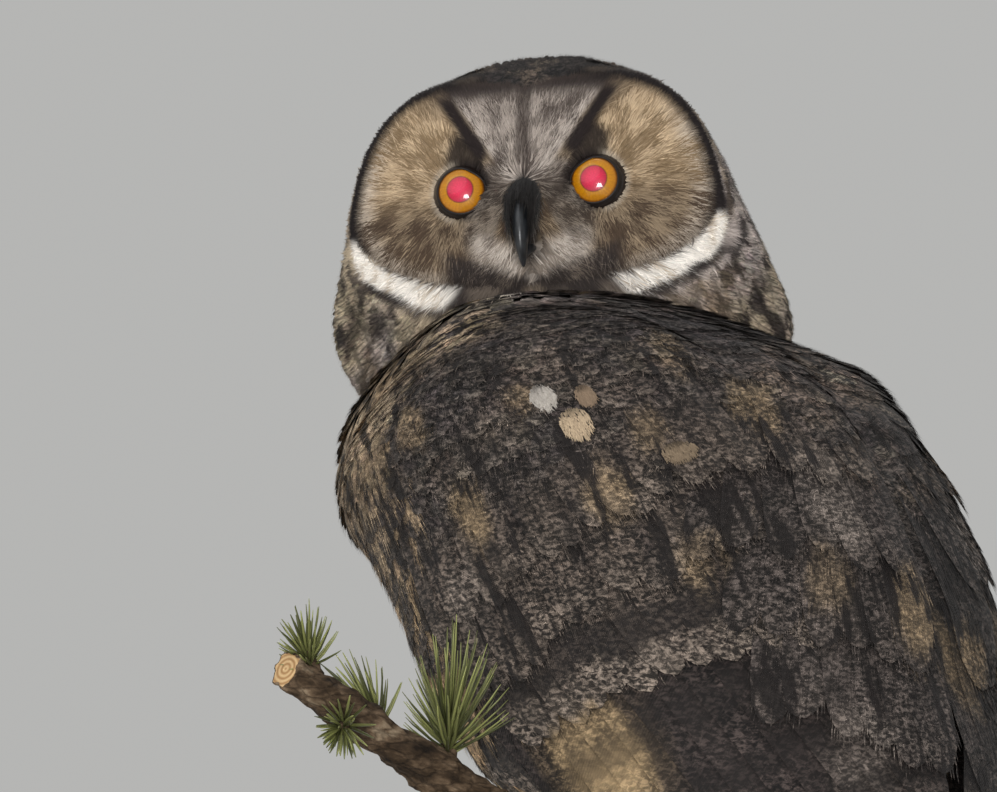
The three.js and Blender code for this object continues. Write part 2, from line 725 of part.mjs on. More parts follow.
function buildWings() {
  const trunk = trunkClear();
  for (const [word, side] of [['left', 1], ['right', -1]]) {
    const wing = (swell) => union([
      padSlab(side, armOutline, armThickness, 9, 7, swell),
      ...wingRows.flatMap((row) => featherRow(side, row, armOutline, armThickness, swell)),
    ]);
    addNode(`wing_${word}`, wing(0).subtract(trunk), 'coat');
    const scapulars = union([
      padSlab(side, scapularOutline, scapularThickness, 10, 4),
      ...scapularRows.flatMap((row) => featherRow(side, row, scapularOutline, scapularThickness)),
    ]);
    addNode(`scapulars_${word}`, scapulars.subtract(trunk).subtract(wing(gap)), 'coat');
  }
}

// Branch coordinates: along it, round it from its top, and out from its middle line
const perchAlong = new THREE.Vector3(Math.cos(perchRise), 0, Math.sin(perchRise));
const perchUp = new THREE.Vector3(-Math.sin(perchRise), 0, Math.cos(perchRise));
const perchOrigin = new THREE.Vector3(0, perchY, perchHeight - perchRadius);

function onPerch(along, degrees, out) {
  const radians = THREE.MathUtils.degToRad(degrees);
  return perchOrigin.clone()
    .addScaledVector(perchAlong, along)
    .addScaledVector(perchUp, out * Math.cos(radians))
    .add(new THREE.Vector3(0, -out * Math.sin(radians), 0));
}

function perchSolid(extra) {
  const [from, to] = perchEnds;
  return loft(spread(from, to, 14).map((along) => circle(perchSides).map((round) => {
    const swelling = Math.abs(along) < perchGrip ? 0 : perchSwelling * Math.sin(along * 0.21 + 2 * round);
    const radius = tableValue(perchRadii, along, 1) + swelling + extra;
    return onPerch(along, THREE.MathUtils.radToDeg(round), radius);
  })));
}

// A tube of round sections along points, with a radius at each
function taperedTube(points, radii, sides = 8) {
  const rings = points.map((point, i) => {
    const before = points[Math.max(i - 1, 0)];
    const after = points[Math.min(i + 1, points.length - 1)];
    const along = after.clone().sub(before).normalize();
    const across = new THREE.Vector3(1, 0.02, 0.3).cross(along).normalize();
    const over = along.clone().cross(across);
    return circle(sides).map((angle) => point.clone()
      .addScaledVector(across, radii[i] * Math.cos(angle))
      .addScaledVector(over, radii[i] * Math.sin(angle)));
  });
  return loft(rings);
}

function toePoint(side, way, splay, degrees, lift = 0) {
  const out = perchRadius + toeRadius - toePress + lift;
  return onPerch(side * (footSide + splay * degrees / 100), way * degrees, out);
}

function toe(side, way, splay, reach, swell) {
  const points = spread(0, reach - toeShort, 4).map((turn) => toePoint(side, way, splay, turn));
  return taperedTube(points, points.map((_, i) => toeRadius - 0.3 * i + swell), 7);
}

function buildFeet() {
  const perch = perchSolid(0);
  const perchClear = perchSolid(gap);
  const trunk = trunkClear();
  for (const [word, side] of [['left', 1], ['right', -1]]) {
    const ankle = onPerch(side * footSide, 0, perchRadius + ankleHeight);
    const top = onBody(hip.along, side * hip.round, -hip.depth);
    const leg = taperedTube([top, top.clone().lerp(ankle, 0.5), ankle], legRadii, 12);
    const sole = onPerch(side * footSide, 0, perchRadius);
    const palm = taperedTube([ankle, sole], [palmRadius, palmRadius], 10);
    const toeSolids = toes.map(([, way, splay, reach]) => toe(side, way, splay, reach, 0));
    addNode(`foot_${word}`, union([leg, palm, ...toeSolids]).subtract(perchClear).subtract(trunk), 'foot');
    for (const [name, way, splay, reach] of toes) {
      const turns = spread(reach + clawSpan[0], reach + clawSpan[1], clawRadii.length);
      const points = turns.map((turn, i) => toePoint(side, way, splay, turn, clawLifts[i]));
      const claw = taperedTube(points, clawRadii, 6);
      const clear = toe(side, way, splay, reach, gap);
      addNode(`claw_${word}_${name}`, claw.subtract(clear).subtract(perchClear), 'horn');
    }
  }
  addNode('perch_branch', perch, 'bark');
}

// A short shoot on the branch with its needles spread in a cone
function buildNeedles() {
  const goldenTurn = Math.PI * (3 - Math.sqrt(5));
  const rise = twigRise.clone().normalize();
  const across = new THREE.Vector3(0, 1, 0).cross(rise).normalize();
  const over = rise.clone().cross(across);
  const footHeight = tableValue(perchRadii, needleTuftPlace, 1) - 3;
  const foot = onPerch(needleTuftPlace, 0, 0).addScaledVector(rise, footHeight);
  const twig = taperedTube([foot, foot.clone().addScaledVector(rise, twigLength)], twigRadii);
  const needles = [];
  for (let i = 0; i < needleCount; i += 1) {
    const share = (i + 0.5) / needleCount;
    const lean = needleLean[0] + (needleLean[1] - needleLean[0]) * share;
    const aside = across.clone().multiplyScalar(Math.cos(i * goldenTurn))
      .addScaledVector(over, Math.sin(i * goldenTurn));
    const root = foot.clone().addScaledVector(rise, 3 + (twigLength - 3.5) * share);
    const length = needleLength * (0.8 + 0.2 * Math.sin(2.4 * i));
    const points = spread(0, 1, 3).map((at) => root.clone()
      .addScaledVector(aside, length * at * Math.sin(lean) * (1 - needleBend * at))
      .addScaledVector(rise, length * at * Math.cos(lean) * (1 + needleBend * at)));
    needles.push(taperedTube(points, [needleHalfWidth, needleHalfWidth, needleHalfWidth / 3], 3));
  }
  addNode('needle_tuft', union([twig, ...needles]).subtract(perchSolid(gap)), 'needle');
}

function buildStand() {
  const profile = [
    [0, 0], [baseRadius, 0], [baseRadius, baseThickness - baseBevel],
    [baseRadius - baseBevel, baseThickness], [0, baseThickness],
  ];
  const base = new THREE.LatheGeometry(profile.map(([r, z]) => new THREE.Vector2(r, z)), 40);
  addNode('stand_base', geometrySolid(base, (p) => new THREE.Vector3(p.z, p.x, p.y)), 'wood');
  const perchClear = perchSolid(gap);
  for (const [i, place] of rodPlaces.entries()) {
    const top = onPerch(place, 0, 0);
    const height = top.z - baseThickness - gap;
    const rod = new THREE.CylinderGeometry(rodRadius, rodRadius, height, 16);
    const middle = baseThickness + gap + height / 2;
    const placed = geometrySolid(rod, (p) => new THREE.Vector3(top.x + p.z, top.y + p.x, middle + p.y));
    addNode(`stand_rod_${i + 1}`, placed.subtract(perchClear), 'steel');
  }
}

buildTrunk();
buildHead();
buildWings();
buildFeet();
buildNeedles();
buildStand();

export default owl;
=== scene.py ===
# A long-eared owl at life size on a cut conifer branch, dressed over its solids.
# The tables below are in millimetres and match the solids; every mesh is made in metres.
import math

import bmesh
import bpy
import numpy as np
from mathutils import Matrix, Vector, noise


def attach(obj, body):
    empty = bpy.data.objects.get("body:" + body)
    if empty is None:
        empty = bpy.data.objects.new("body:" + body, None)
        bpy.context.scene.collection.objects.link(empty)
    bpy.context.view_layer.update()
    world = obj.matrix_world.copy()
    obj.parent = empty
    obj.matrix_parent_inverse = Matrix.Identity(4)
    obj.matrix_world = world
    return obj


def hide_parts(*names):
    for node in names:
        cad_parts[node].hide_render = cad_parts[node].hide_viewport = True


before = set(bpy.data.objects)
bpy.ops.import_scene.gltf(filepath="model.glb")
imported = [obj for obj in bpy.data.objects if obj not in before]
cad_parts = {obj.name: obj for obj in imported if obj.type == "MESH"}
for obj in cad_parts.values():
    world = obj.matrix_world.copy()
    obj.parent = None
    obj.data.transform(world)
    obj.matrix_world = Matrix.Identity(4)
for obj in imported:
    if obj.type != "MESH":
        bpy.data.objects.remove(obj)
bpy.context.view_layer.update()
print("frame loaded:", len(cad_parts), "nodes")
rng = np.random.default_rng(11)
mm = 0.001
bothSides = (("left", 1), ("right", -1))


def hexColour(value):
    # sRGB hex to linear red, green and blue
    parts = np.array([int(value[i:i + 2], 16) / 255 for i in (1, 3, 5)])
    return np.where(parts <= 0.04045, parts / 12.92, ((parts + 0.055) / 1.055) ** 2.4)


def rgba(value):
    return (*hexColour(value), 1.0)


def ramp(value, start, end):
    share = np.clip((np.asarray(value, float) - start) / (end - start), 0, 1)
    return share * share * (3 - 2 * share)


def toneOf(colour):
    # linear colour of a hex value or of a name in the plumage
    if isinstance(colour, str):
        return hexColour(colour) if colour[0] == "#" else plumage[colour]
    return colour


def mixed(first, second, share):
    first, second = toneOf(first), toneOf(second)
    return first + (second - first) * np.asarray(share)[..., None]


def unit(vectors):
    return vectors / np.maximum(np.linalg.norm(vectors, axis=-1, keepdims=True), 1e-9)


def tableValue(table, at, column=1):
    # smooth value between the rows of a table whose first column rises
    rows = np.asarray(table, float)
    x, y = rows[:, 0], rows[:, column]
    slope = np.empty(len(x))
    slope[1:-1] = (y[2:] - y[:-2]) / (x[2:] - x[:-2])
    slope[0] = (y[1] - y[0]) / (x[1] - x[0])
    slope[-1] = (y[-1] - y[-2]) / (x[-1] - x[-2])
    at = np.clip(at, x[0], x[-1])
    row = np.clip(np.searchsorted(x, at, side="right") - 1, 0, len(x) - 2)
    span = x[row + 1] - x[row]
    s = (at - x[row]) / span
    return ((1 + 2 * s) * (1 - s) ** 2 * y[row] + s * (1 - s) ** 2 * span * slope[row]
            + s * s * (3 - 2 * s) * y[row + 1] + s * s * (s - 1) * span * slope[row + 1])


def linked(name, data):
    thing = bpy.data.objects.new(name, data)
    bpy.context.scene.collection.objects.link(thing)
    return thing


# Camera: the bird is seen from behind its left side, from a little below
cameraSet = {
    "azimuth": 130, "elevation": -9, "distance": 1400, "aim": (34, -40.6, 270), "mmPerPixel": 0.24,
    "pixelsAcross": 997, "sensor": 36,
}


def makeCamera():
    turn, lift = math.radians(cameraSet["azimuth"]), math.radians(cameraSet["elevation"])
    back = Vector((math.sin(turn) * math.cos(lift), -math.cos(turn) * math.cos(lift), math.sin(lift)))
    right = Vector((math.cos(turn), math.sin(turn), 0))
    place = (Vector(cameraSet["aim"]) + back * cameraSet["distance"]) * mm
    data = bpy.data.cameras.new("camera")
    data.sensor_width = cameraSet["sensor"]
    across = cameraSet["pixelsAcross"] * cameraSet["mmPerPixel"]
    data.lens = cameraSet["sensor"] * cameraSet["distance"] / across
    data.clip_end = 20
    camera = linked("camera", data)
    axes = Matrix((right, back.cross(right), back)).transposed().to_4x4()
    camera.matrix_world = Matrix.Translation(place) @ axes
    bpy.context.scene.camera = camera
    return place, back, right


cameraPlace, cameraBack, cameraRight = makeCamera()

# Body: each section is a place along the axis, half width, belly depth and back depth
bodySections = [
    [-105, 27, 7, 24], [-90, 33, 8, 33], [-75, 40, 11, 42], [-65, 45, 24, 48], [-55, 51, 38, 55],
    [-40, 57, 51, 59], [-10, 60, 56, 59], [20, 63, 58, 55], [36, 64.5, 66, 50], [46, 63.5, 72, 44],
    [54, 61, 73, 38], [62, 57.5, 71, 30], [70, 52, 68, 20], [78, 45, 62, 8],
]
wingSections = [
    [-222, 17, 4, 9], [-190, 23.5, 5, 17], [-160, 29, 7, 25], [-130, 35, 9, 33], [-105, 40, 14, 41],
    [-90, 43.5, 18, 46], [-75, 47, 27, 51], *[row for row in bodySections if row[0] > -60],
]
perchHeight = 145
bodyLean = math.radians(65)
bodyUp = np.array([0, -math.cos(bodyLean), math.sin(bodyLean)])
bellyward = np.array([0, -math.sin(bodyLean), -math.cos(bodyLean)])
bodyCentre = np.array([0, -14, perchHeight + 80.0])
# The neck narrows under the turned head: share of the full size and shift away from the face
neckDome = [[68, 1, 0], [73, 0.84, 5], [77, 0.62, 10]]

# Head
headCentre = np.array([0, -54, perchHeight + 174.0])
headTurn, headPitch, headRoll = (math.radians(value) for value in (118.5, 4, 2.6))
headHalfWidth, crownRise, headBack = 47.5, 41, 40
headOutline = [
    [0, 41], [30, 42.5], [60, 44.5], [90, 48.5], [104, 53.5], [118, 60], [137, 62], [155, 55], [180, 46],
]
# The turned neck bunches under the left cheek: extra radius there
cheekSwelling = [[85, 0], [104, 3], [120, 8], [135, 7], [155, 3], [175, 0]]
discRadii = [
    [0, 29], [28, 36], [44, 41.2], [60, 43.8], [80, 44.6], [97, 44.8], [108, 40], [120, 33.5], [132, 28.5],
    [150, 22.5], [180, 20.5],
]
discRimForward = [[0, 18], [90, 13], [180, 19]]
discCentreForward = 24
eyeSide, eyeUp, eyeForward, eyeRadius = 16.6, 3.6, 15.6, 8.4

headForward = np.array([math.sin(headTurn), -math.cos(headTurn), math.tan(headPitch)]) * math.cos(headPitch)
levelLeft = unit(np.cross([0, 0, 1], headForward))
levelUp = unit(np.cross(headForward, levelLeft))
headLeft = levelLeft * math.cos(headRoll) + levelUp * math.sin(headRoll)
headUp = levelUp * math.cos(headRoll) - levelLeft * math.sin(headRoll)
facing = unit(headForward * [1, 1, 0])


def inHead(left, forward, up):
    return (headCentre + np.multiply.outer(left, headLeft) + np.multiply.outer(forward, headForward)
            + np.multiply.outer(up, headUp))


def fromHead(points):
    offset = points - headCentre
    return offset @ headLeft, offset @ headForward, offset @ headUp


def folded(degrees):
    return np.abs((np.asarray(degrees) + 180) % 360 - 180)


def faceForward(left, up, share, rimForward):
    dome = discCentreForward + (rimForward - discCentreForward) * share ** 2
    ridge = 5 * np.exp(-((left / 6) ** 2)) * np.maximum(0, 1 - (share * 0.95) ** 2)
    hollow = 2 * np.exp(-(((np.abs(left) - eyeSide) / 11) ** 2) - ((up - eyeUp) / 11) ** 2)
    return dome + ridge - hollow


def facePlace(left, up):
    # polar place on the face: share of the way out to the rim, and angle from the top
    angle = np.degrees(np.arctan2(left, up))
    return np.hypot(left, up) / tableValue(discRadii, folded(angle)), angle


def facePoint(left, up, height):
    share, angle = facePlace(left, up)
    forward = faceForward(left, up, np.minimum(share, 1), tableValue(discRimForward, folded(angle)))
    return inHead(left, forward + height - 14 * np.maximum(share - 1, 0), up)


def headRadius(angle):
    near = folded(angle)
    onLeft = np.sin(np.radians(angle)) > 0
    return tableValue(headOutline, near) + np.where(onLeft, tableValue(cheekSwelling, near), 0)


def headPoint(q, angle, height):
    # over the whole head: q runs 0 to 1 across the face, to 1.4 round its edge, then back over the skull
    near = folded(angle)
    rimRadius, rimForward = tableValue(discRadii, near), tableValue(discRimForward, near)
    outline = headRadius(angle)
    round_ = np.radians(angle)
    share = np.clip(q, 0, 1)
    radius = (rimRadius + height) * share
    left, up = radius * np.sin(round_), radius * np.cos(round_)
    forward = faceForward(left, up, share, rimForward) + height * np.clip(1.4 - q, 0, 1)
    turn = np.radians(-6 + np.clip(q - 1.4, 0, 1) * 96)
    backRadius, backward = (outline + height) * np.cos(turn), (headBack + height) * np.sin(turn)
    edge = np.clip((q - 1) / 0.4, 0, 1)
    bulge = 1.6 * np.sin(np.pi * edge)
    finalRadius = np.where(q < 1, radius, (rimRadius + height + bulge) * (1 - edge) + backRadius * edge)
    finalForward = np.where(q < 1, forward, forward * (1 - edge) - backward * edge)
    return inHead(finalRadius * np.sin(round_), finalForward, finalRadius * np.cos(round_))


def onCrown(left, back, height):
    share = 1 - (left / headHalfWidth) ** 2 - (back / headBack) ** 2
    return inHead(left, -back, crownRise * np.sqrt(np.maximum(share, 0.02)) + height)


# Pads of the folded wing and of the scapulars: place along, inner and outer degrees, then thickness
armOutline = [
    [-58, 30, 112], [-40, 26, 128], [-15, 26, 134], [0, 27, 133], [30, 30, 125], [50, 40, 112], [60, 56, 94],
]
armThickness = [
    [-58, 3.2], [-42, 6.5], [-25, 9.2], [-8, 10.6], [8, 11.6], [24, 12.6], [38, 12], [50, 8.5], [60, 3],
]
scapularOutline = [[-50, 3, 12], [-30, 2.5, 19], [0, 2.5, 23], [20, 2.5, 25], [42, 5, 16]]
scapularThickness = [[-50, 4], [-30, 7.5], [-8, 10.5], [10, 11.5], [26, 8.5], [42, 2]]


def padHeight(outline, thickness, along, degrees):
    inner, outer = tableValue(outline, along, 1), tableValue(outline, along, 2)
    share = np.clip((degrees - inner) / (outer - inner), 0, 1)
    return tableValue(thickness, along) * (0.6 + 0.4 * np.sin(np.pi * share) ** 0.6)


def padRise(outline, thickness, along, degrees, drape=7):
    # height of a pad, falling away softly beyond its edges
    inner, outer = tableValue(outline, along, 1), tableValue(outline, along, 2)
    beyond = np.maximum(np.maximum(inner - degrees, degrees - outer), 0) / drape
    past = np.maximum(np.maximum(outline[0][0] - along, along - outline[-1][0]), 0) / 6
    return padHeight(outline, thickness, along, degrees) * np.exp(-beyond ** 2 - past ** 2)


def bodyPoint(along, degrees, height, sections=bodySections):
    angle = np.radians(degrees)
    half, belly, back = (tableValue(sections, along, column) for column in (1, 2, 3))
    half, depth = half + height, np.where(np.cos(angle) < 0, belly, back) + height
    return onAxis(along, half * np.sin(angle), depth * np.cos(angle))


def trunkPoint(along, degrees, height):
    base = bodyPoint(along, degrees, height)
    axis = bodyCentre + np.multiply.outer(along, bodyUp)
    share, shift = tableValue(neckDome, along, 1), tableValue(neckDome, along, 2)
    return axis + (base - axis) * share[..., None] - np.multiply.outer(shift, facing)


def coatPoint(along, degrees, height):
    # the trunk with the pads of wings and scapulars on it
    near = folded(degrees)
    arm = padRise(armOutline, armThickness, along, near)
    scapular = padRise(scapularOutline, scapularThickness, along, near)
    both = np.log(np.exp(arm * 0.8) + np.exp(scapular * 0.8) - 1) / 0.8
    return trunkPoint(along, degrees, height + both)


def overWing(along, degrees, level, across, height):
    middle = bodyPoint(along, degrees, level, wingSections)
    sideways = unit(bodyPoint(along, degrees + 2, level, wingSections)
                    - bodyPoint(along, degrees - 2, level, wingSections))
    out = bodyPoint(along, degrees, level + 1, wingSections) - middle
    out = unit(out - sideways * np.sum(out * sideways, axis=-1, keepdims=True))
    return middle + sideways * across[..., None] + out * height[..., None]


def onAxis(along, sideways, over):
    return (bodyCentre + np.multiply.outer(along, bodyUp) - np.multiply.outer(over, bellyward)
            + np.multiply.outer(sideways, [1, 0, 0]))


# Nodes and materials
def firstOut(source):
    return source.outputs[0] if hasattr(source, "outputs") else source


def addNode(tree, kind, settings=None, links=None):
    # one node with its settings and what feeds it: a socket, or a node for its first output
    node = tree.nodes.new("ShaderNode" + kind)
    for key, value in (settings or {}).items():
        if key == "stops":
            while len(node.color_ramp.elements) < len(value):
                node.color_ramp.elements.new(0.5)
            for element, (place, tone) in zip(node.color_ramp.elements, value):
                element.position, element.color = place, rgba(tone)
        elif isinstance(key, str) and hasattr(node, key):
            setattr(node, key, value)
        else:
            node.inputs[key].default_value = value
    for key, source in (links or {}).items():
        tree.links.new(firstOut(source), node.inputs[key])
    return node


def newMaterial(name, settings):
    material = bpy.data.materials.new(name)
    material.use_nodes = True
    for key, value in settings.items():
        material.node_tree.nodes["Principled BSDF"].inputs[key].default_value = value
    return material, material.node_tree


def feed(tree, **sources):
    # the last nodes of a material into its shader
    for key, socket in (("colour", "Base Color"), ("bump", "Normal")):
        if key in sources:
            tree.links.new(firstOut(sources[key]), tree.nodes["Principled BSDF"].inputs[socket])


def featherMaterial(name, barbMm, settings):
    # contour and flight feathers: keratin barbs, matt with a faint silky sheen.
    # Each vane carries its ground colour, its marks and its bars as attributes.
    material, tree = newMaterial(name, {
        "Roughness": 0.78, "IOR": 1.54, "Specular IOR Level": settings["gloss"],
        "Sheen Weight": settings["gloss"] / 4, "Sheen Roughness": 0.5,
    })
    ground, marks, bars = (addNode(tree, "Attribute", {"attribute_name": key})
                           for key in ("ground", "marks", "bars"))
    mark, bar = (addNode(tree, "SeparateColor", links={0: source}) for source in (marks, bars))
    vane, size = (addNode(tree, "UVMap", {"uv_map": key}) for key in ("Vane", "VaneMm"))
    place, inMm = (addNode(tree, "SeparateXYZ", links={0: source}) for source in (vane, size))
    # wobble of every mark, one long swing in about 3 mm
    wobble = addNode(tree, "TexNoise", {"Scale": 0.35, "Detail": 2.0}, {"Vector": size})
    # wavering flecks about 1.5 mm wide and 0.9 mm high, finer on the real bird; they run on from vane to vane
    body = addNode(tree, "TexCoord").outputs["Object"]
    flat = addNode(tree, "VectorMath", {"operation": "MULTIPLY", 1: (1.0, 1.0, 1.8)}, {0: body})
    flecks = addNode(tree, "TexNoise", {"Scale": 640.0, "Detail": 3.0, "Roughness": 0.6, "Distortion": 0.6},
                     {"Vector": flat})
    # dark streaks about 3 mm wide and 20 mm long down the body, across many vanes
    turned = addNode(tree, "Mapping", {"Rotation": (-math.pi / 2 + bodyLean, 0, 0)}, {"Vector": body})
    drawn = addNode(tree, "VectorMath", {"operation": "MULTIPLY", 1: (1.0, 1.0, 0.17)}, {0: turned})
    streaks = addNode(tree, "TexNoise", {"Scale": settings["streakScale"], "Detail": 2.0, "Roughness": 0.55},
                      {"Vector": drawn})
    # broader clouds about 7 mm across
    clouds = addNode(tree, "TexNoise", {"Scale": 140.0, "Detail": 2.0}, {"Vector": flat})
    values = {
        "across": place.outputs[0], "along": place.outputs[1], "mmAlong": inMm.outputs[1],
        "streak": mark.outputs[0], "lines": mark.outputs[1], "tip": mark.outputs[2],
        "beat": bar.outputs[0], "shift": bar.outputs[1], "barred": bar.outputs[2],
        "wobble": wobble, "flecks": flecks, "clouds": clouds, "streaks": streaks,
    }
    steps = [  # result, operation, kept within 0 and 1, inputs
        ("swing", "SUBTRACT", False, "wobble", 0.5),
        ("aside", "SUBTRACT", False, "across", 0.5),
        ("aside", "ABSOLUTE", False, "aside"),
        # the stronger the mark, the wider the dark streaks
        ("edge", "MULTIPLY_ADD", False, "streak", 0.16, "streaks"),
        ("core", "SUBTRACT", False, "edge", 0.655),
        ("core", "DIVIDE", True, "core", 0.075),
        ("core", "MULTIPLY", False, "core", settings["streakForce"]),
        # and a dark line down the shaft of a small feather
        ("line", "SUBTRACT", False, 0.16, "aside"),
        ("line", "DIVIDE", True, "line", 0.1),
        ("line", "MULTIPLY", False, "line", "streak"),
        ("line", "MULTIPLY", False, "line", settings["lineForce"]),
        ("core", "MAXIMUM", False, "core", "line"),
        # bars across the vane
        ("phase", "MULTIPLY_ADD", False, "swing", 0.09, "along"),
        ("beats", "MULTIPLY", False, "beat", 20.0),
        ("phase", "MULTIPLY_ADD", False, "phase", "beats", "shift"),
        ("wave", "MULTIPLY", False, "phase", 2 * math.pi),
        ("wave", "SINE", False, "wave"),
        ("wave", "SUBTRACT", False, "wave", 0.05),
        ("wave", "DIVIDE", True, "wave", 0.5),
        ("wave", "MULTIPLY", False, "wave", "barred"),
        ("dark", "MAXIMUM", False, "core", "wave"),
        # pale scalloped tip
        ("end", "MULTIPLY_ADD", False, "swing", 0.25, "along"),
        ("end", "SUBTRACT", False, "end", 0.8),
        ("end", "DIVIDE", True, "end", 0.1),
        ("end", "MULTIPLY", False, "end", "tip"),
        ("quill", "LESS_THAN", False, "aside", settings["shaftWidth"]),
        ("quill", "MULTIPLY", False, "quill", settings["shaftStrength"]),
        # flecks between 0.2 and 2.9 times the ground, as strong as the mark says
        ("fleck", "SUBTRACT", False, "flecks", 0.4),
        ("fleck", "DIVIDE", True, "fleck", 0.22),
        ("fleck", "POWER", False, "fleck", 1.6),
        ("fleck", "MULTIPLY_ADD", False, "fleck", 2.75, -0.82),
        ("fleck", "MULTIPLY_ADD", False, "fleck", "lines", 1.0),
        ("cloud", "MULTIPLY_ADD", False, "clouds", 1.5, 0.25),
        ("shade", "MULTIPLY", False, "fleck", "cloud"),
        # barbs run out and forward from the shaft
        ("slope", "MULTIPLY", False, "aside", settings["barbSlope"]),
        ("barb", "SUBTRACT", False, "mmAlong", "slope"),
        ("barb", "MULTIPLY", False, "barb", 2 * math.pi / barbMm),
        ("barb", "SINE", False, "barb"),
    ]
    for result, operation, clamp, *inputs in steps:
        numbers = {i: value for i, value in enumerate(inputs) if not isinstance(value, str)}
        sockets = {i: values[value] for i, value in enumerate(inputs) if isinstance(value, str)}
        numbers.update(operation=operation, use_clamp=clamp)
        values[result] = addNode(tree, "Math", numbers, sockets)

    def layered(under, amount, tone):
        # one of the finish's tones laid over the colour so far
        over = {"data_type": "RGBA", 7: rgba(settings[tone])}
        return addNode(tree, "Mix", over, {0: values[amount], 6: under}).outputs[2]

    colour = layered(ground, "end", "pale")
    colour = addNode(tree, "VectorMath", {"operation": "SCALE"}, {0: colour, "Scale": values["shade"]})
    colour = layered(layered(colour, "dark", "dark"), "quill", "shaft")
    relief = {"Strength": settings["bump"], "Distance": 0.00012}
    feed(tree, colour=colour, bump=addNode(tree, "Bump", relief, {"Height": values["barb"]}))
    return material


# barbs of a small contour feather lie about 0.3 mm apart, drawn 0.6 mm to show
contourFinish = {
    "gloss": 0.22, "streakScale": 300.0, "streakForce": 0.92, "lineForce": 0.0, "shaftWidth": 0.015,
    "shaftStrength": 0.2, "barbSlope": 5.0, "bump": 0.5, "shaft": "#1d1817", "dark": "#191514",
    "pale": "#6f655b",
}
contourVane = featherMaterial("contour feather", 0.6, contourFinish)
# small feathers of head and nape: the same with finer streaks
headVane = featherMaterial("head feather", 0.6, {
    **contourFinish, "gloss": 0.08, "streakScale": 380.0, "streakForce": 0.55, "lineForce": 0.6,
    "shaftStrength": 0.1, "barbSlope": 4.0, "bump": 0.4, "dark": "#1d1817",
})
# wing and tail quills: stiffer, with a plain shaft and barbs drawn 0.7 mm apart
quillVane = featherMaterial("quill feather", 0.7, {
    **contourFinish, "streakScale": 260.0, "shaftWidth": 0.014, "shaftStrength": 0.35, "shaft": "#1a1614",
    "barbSlope": 14.0, "bump": 0.45, "dark": "#181413", "pale": "#5e554d",
})


def strandMaterial(name):
    # open hair-like feathers of the face and the loose barbs: soft, no shaft to see
    material, tree = newMaterial(name, {
        "Roughness": 0.8, "IOR": 1.54, "Specular IOR Level": 0.15, "Sheen Weight": 0.06,
        "Sheen Roughness": 0.5,
    })
    ground = addNode(tree, "Attribute", {"attribute_name": "ground"})
    vane = addNode(tree, "UVMap", {"uv_map": "VaneMm"})
    # slow change of shade every 2 mm along a strand
    cloud = addNode(tree, "TexNoise", {"Scale": 0.5, "Detail": 2.0}, {"Vector": vane})
    shade = addNode(tree, "MapRange", {1: 0.3, 2: 0.7, 3: 0.82, 4: 1.14}, {0: cloud})
    feed(tree, colour=addNode(tree, "VectorMath", {"operation": "SCALE"}, {0: ground, "Scale": shade}))
    return material


faceStrand = strandMaterial("facial disc strand")

# Building blocks for vanes and strands
shapes = {
    "contour": ([0, 0.2, 0.42, 0.62, 0.78, 0.9, 0.97], [0.5, 0.86, 1, 0.97, 0.84, 0.6, 0.34]),
    "small": ([0, 0.35, 0.65, 0.86, 0.96], [0.6, 1, 0.95, 0.66, 0.34]),
    "strand": ([0, 0.4, 0.75], [1, 0.85, 0.5]),
    "quill": ([0, 0.12, 0.26, 0.4, 0.54, 0.68, 0.8, 0.88, 0.94, 0.98],
              [0.5, 0.8, 0.93, 1, 1, 0.97, 0.9, 0.78, 0.58, 0.36]),
    "tuft": ([0, 0.2, 0.4, 0.6, 0.8, 0.93], [0.5, 0.85, 1, 0.9, 0.62, 0.34]),
}


def vaneTemplate(shape, columns, barbs=0, reach=0.16):
    # one vane as places (along, across), triangles, and the height of its loose barbs.
    # A barb is one thin triangle that lies over the outer part of the vane and may pass its edge.
    rows, widths = shapes[shape]
    along = [t for t in rows for _ in columns] + [1.0]
    across = [c * w for w in widths for c in columns] + [0.0]
    count, triangles = len(columns), []
    for r in range(len(rows) - 1):
        for c in range(count - 1):
            a = r * count + c
            triangles += [(a, a + 1, a + count + 1), (a, a + count + 1, a + count)]
    last = (len(rows) - 1) * count
    triangles += [(last + c, last + c + 1, len(along) - 1) for c in range(count - 1)]
    lifts = [0.0] * len(along)
    for i in range(barbs):
        share = (i * 0.618034) % 1
        t = 0.4 + 0.56 * (i + 0.5) / barbs
        w = float(np.interp(t, rows, widths))
        s = (2 * share - 1) * w * 0.94
        start = len(along)
        along += [t - 0.008, t + 0.02, t + reach * (1 + 0.6 * ((i * 0.41) % 1))]
        across += [s - 0.03, s + 0.03, s * (1 + reach)]
        lifts += [0.06, 0.06, 0.45]
        triangles.append((start, start + 1, start + 2))
    return np.array(along), np.array(across), np.array(triangles), np.array(lifts)


strand = vaneTemplate("strand", (-1, 1))
vaneContour = vaneTemplate("contour", (-1, 0, 1), 30, 0.2)
vaneSmall = vaneTemplate("small", (-1, 0, 1), 12, 0.22)


def writeColour(mesh, key, colours):
    # a colour for each vertex, as an attribute
    full = np.concatenate([colours, np.ones((len(colours), 1))], axis=1)
    layer = mesh.attributes.new(key, "FLOAT_COLOR", "POINT")
    layer.data.foreach_set("color", full.astype(np.float32).ravel())


def readPoints(mesh):
    # places in millimetres, and normals
    both = []
    for key in ("co", "normal"):
        values = np.empty(len(mesh.vertices) * 3, np.float32)
        mesh.vertices.foreach_get(key, values)
        both.append(values.reshape(-1, 3))
    return both[0] / mm, both[1]


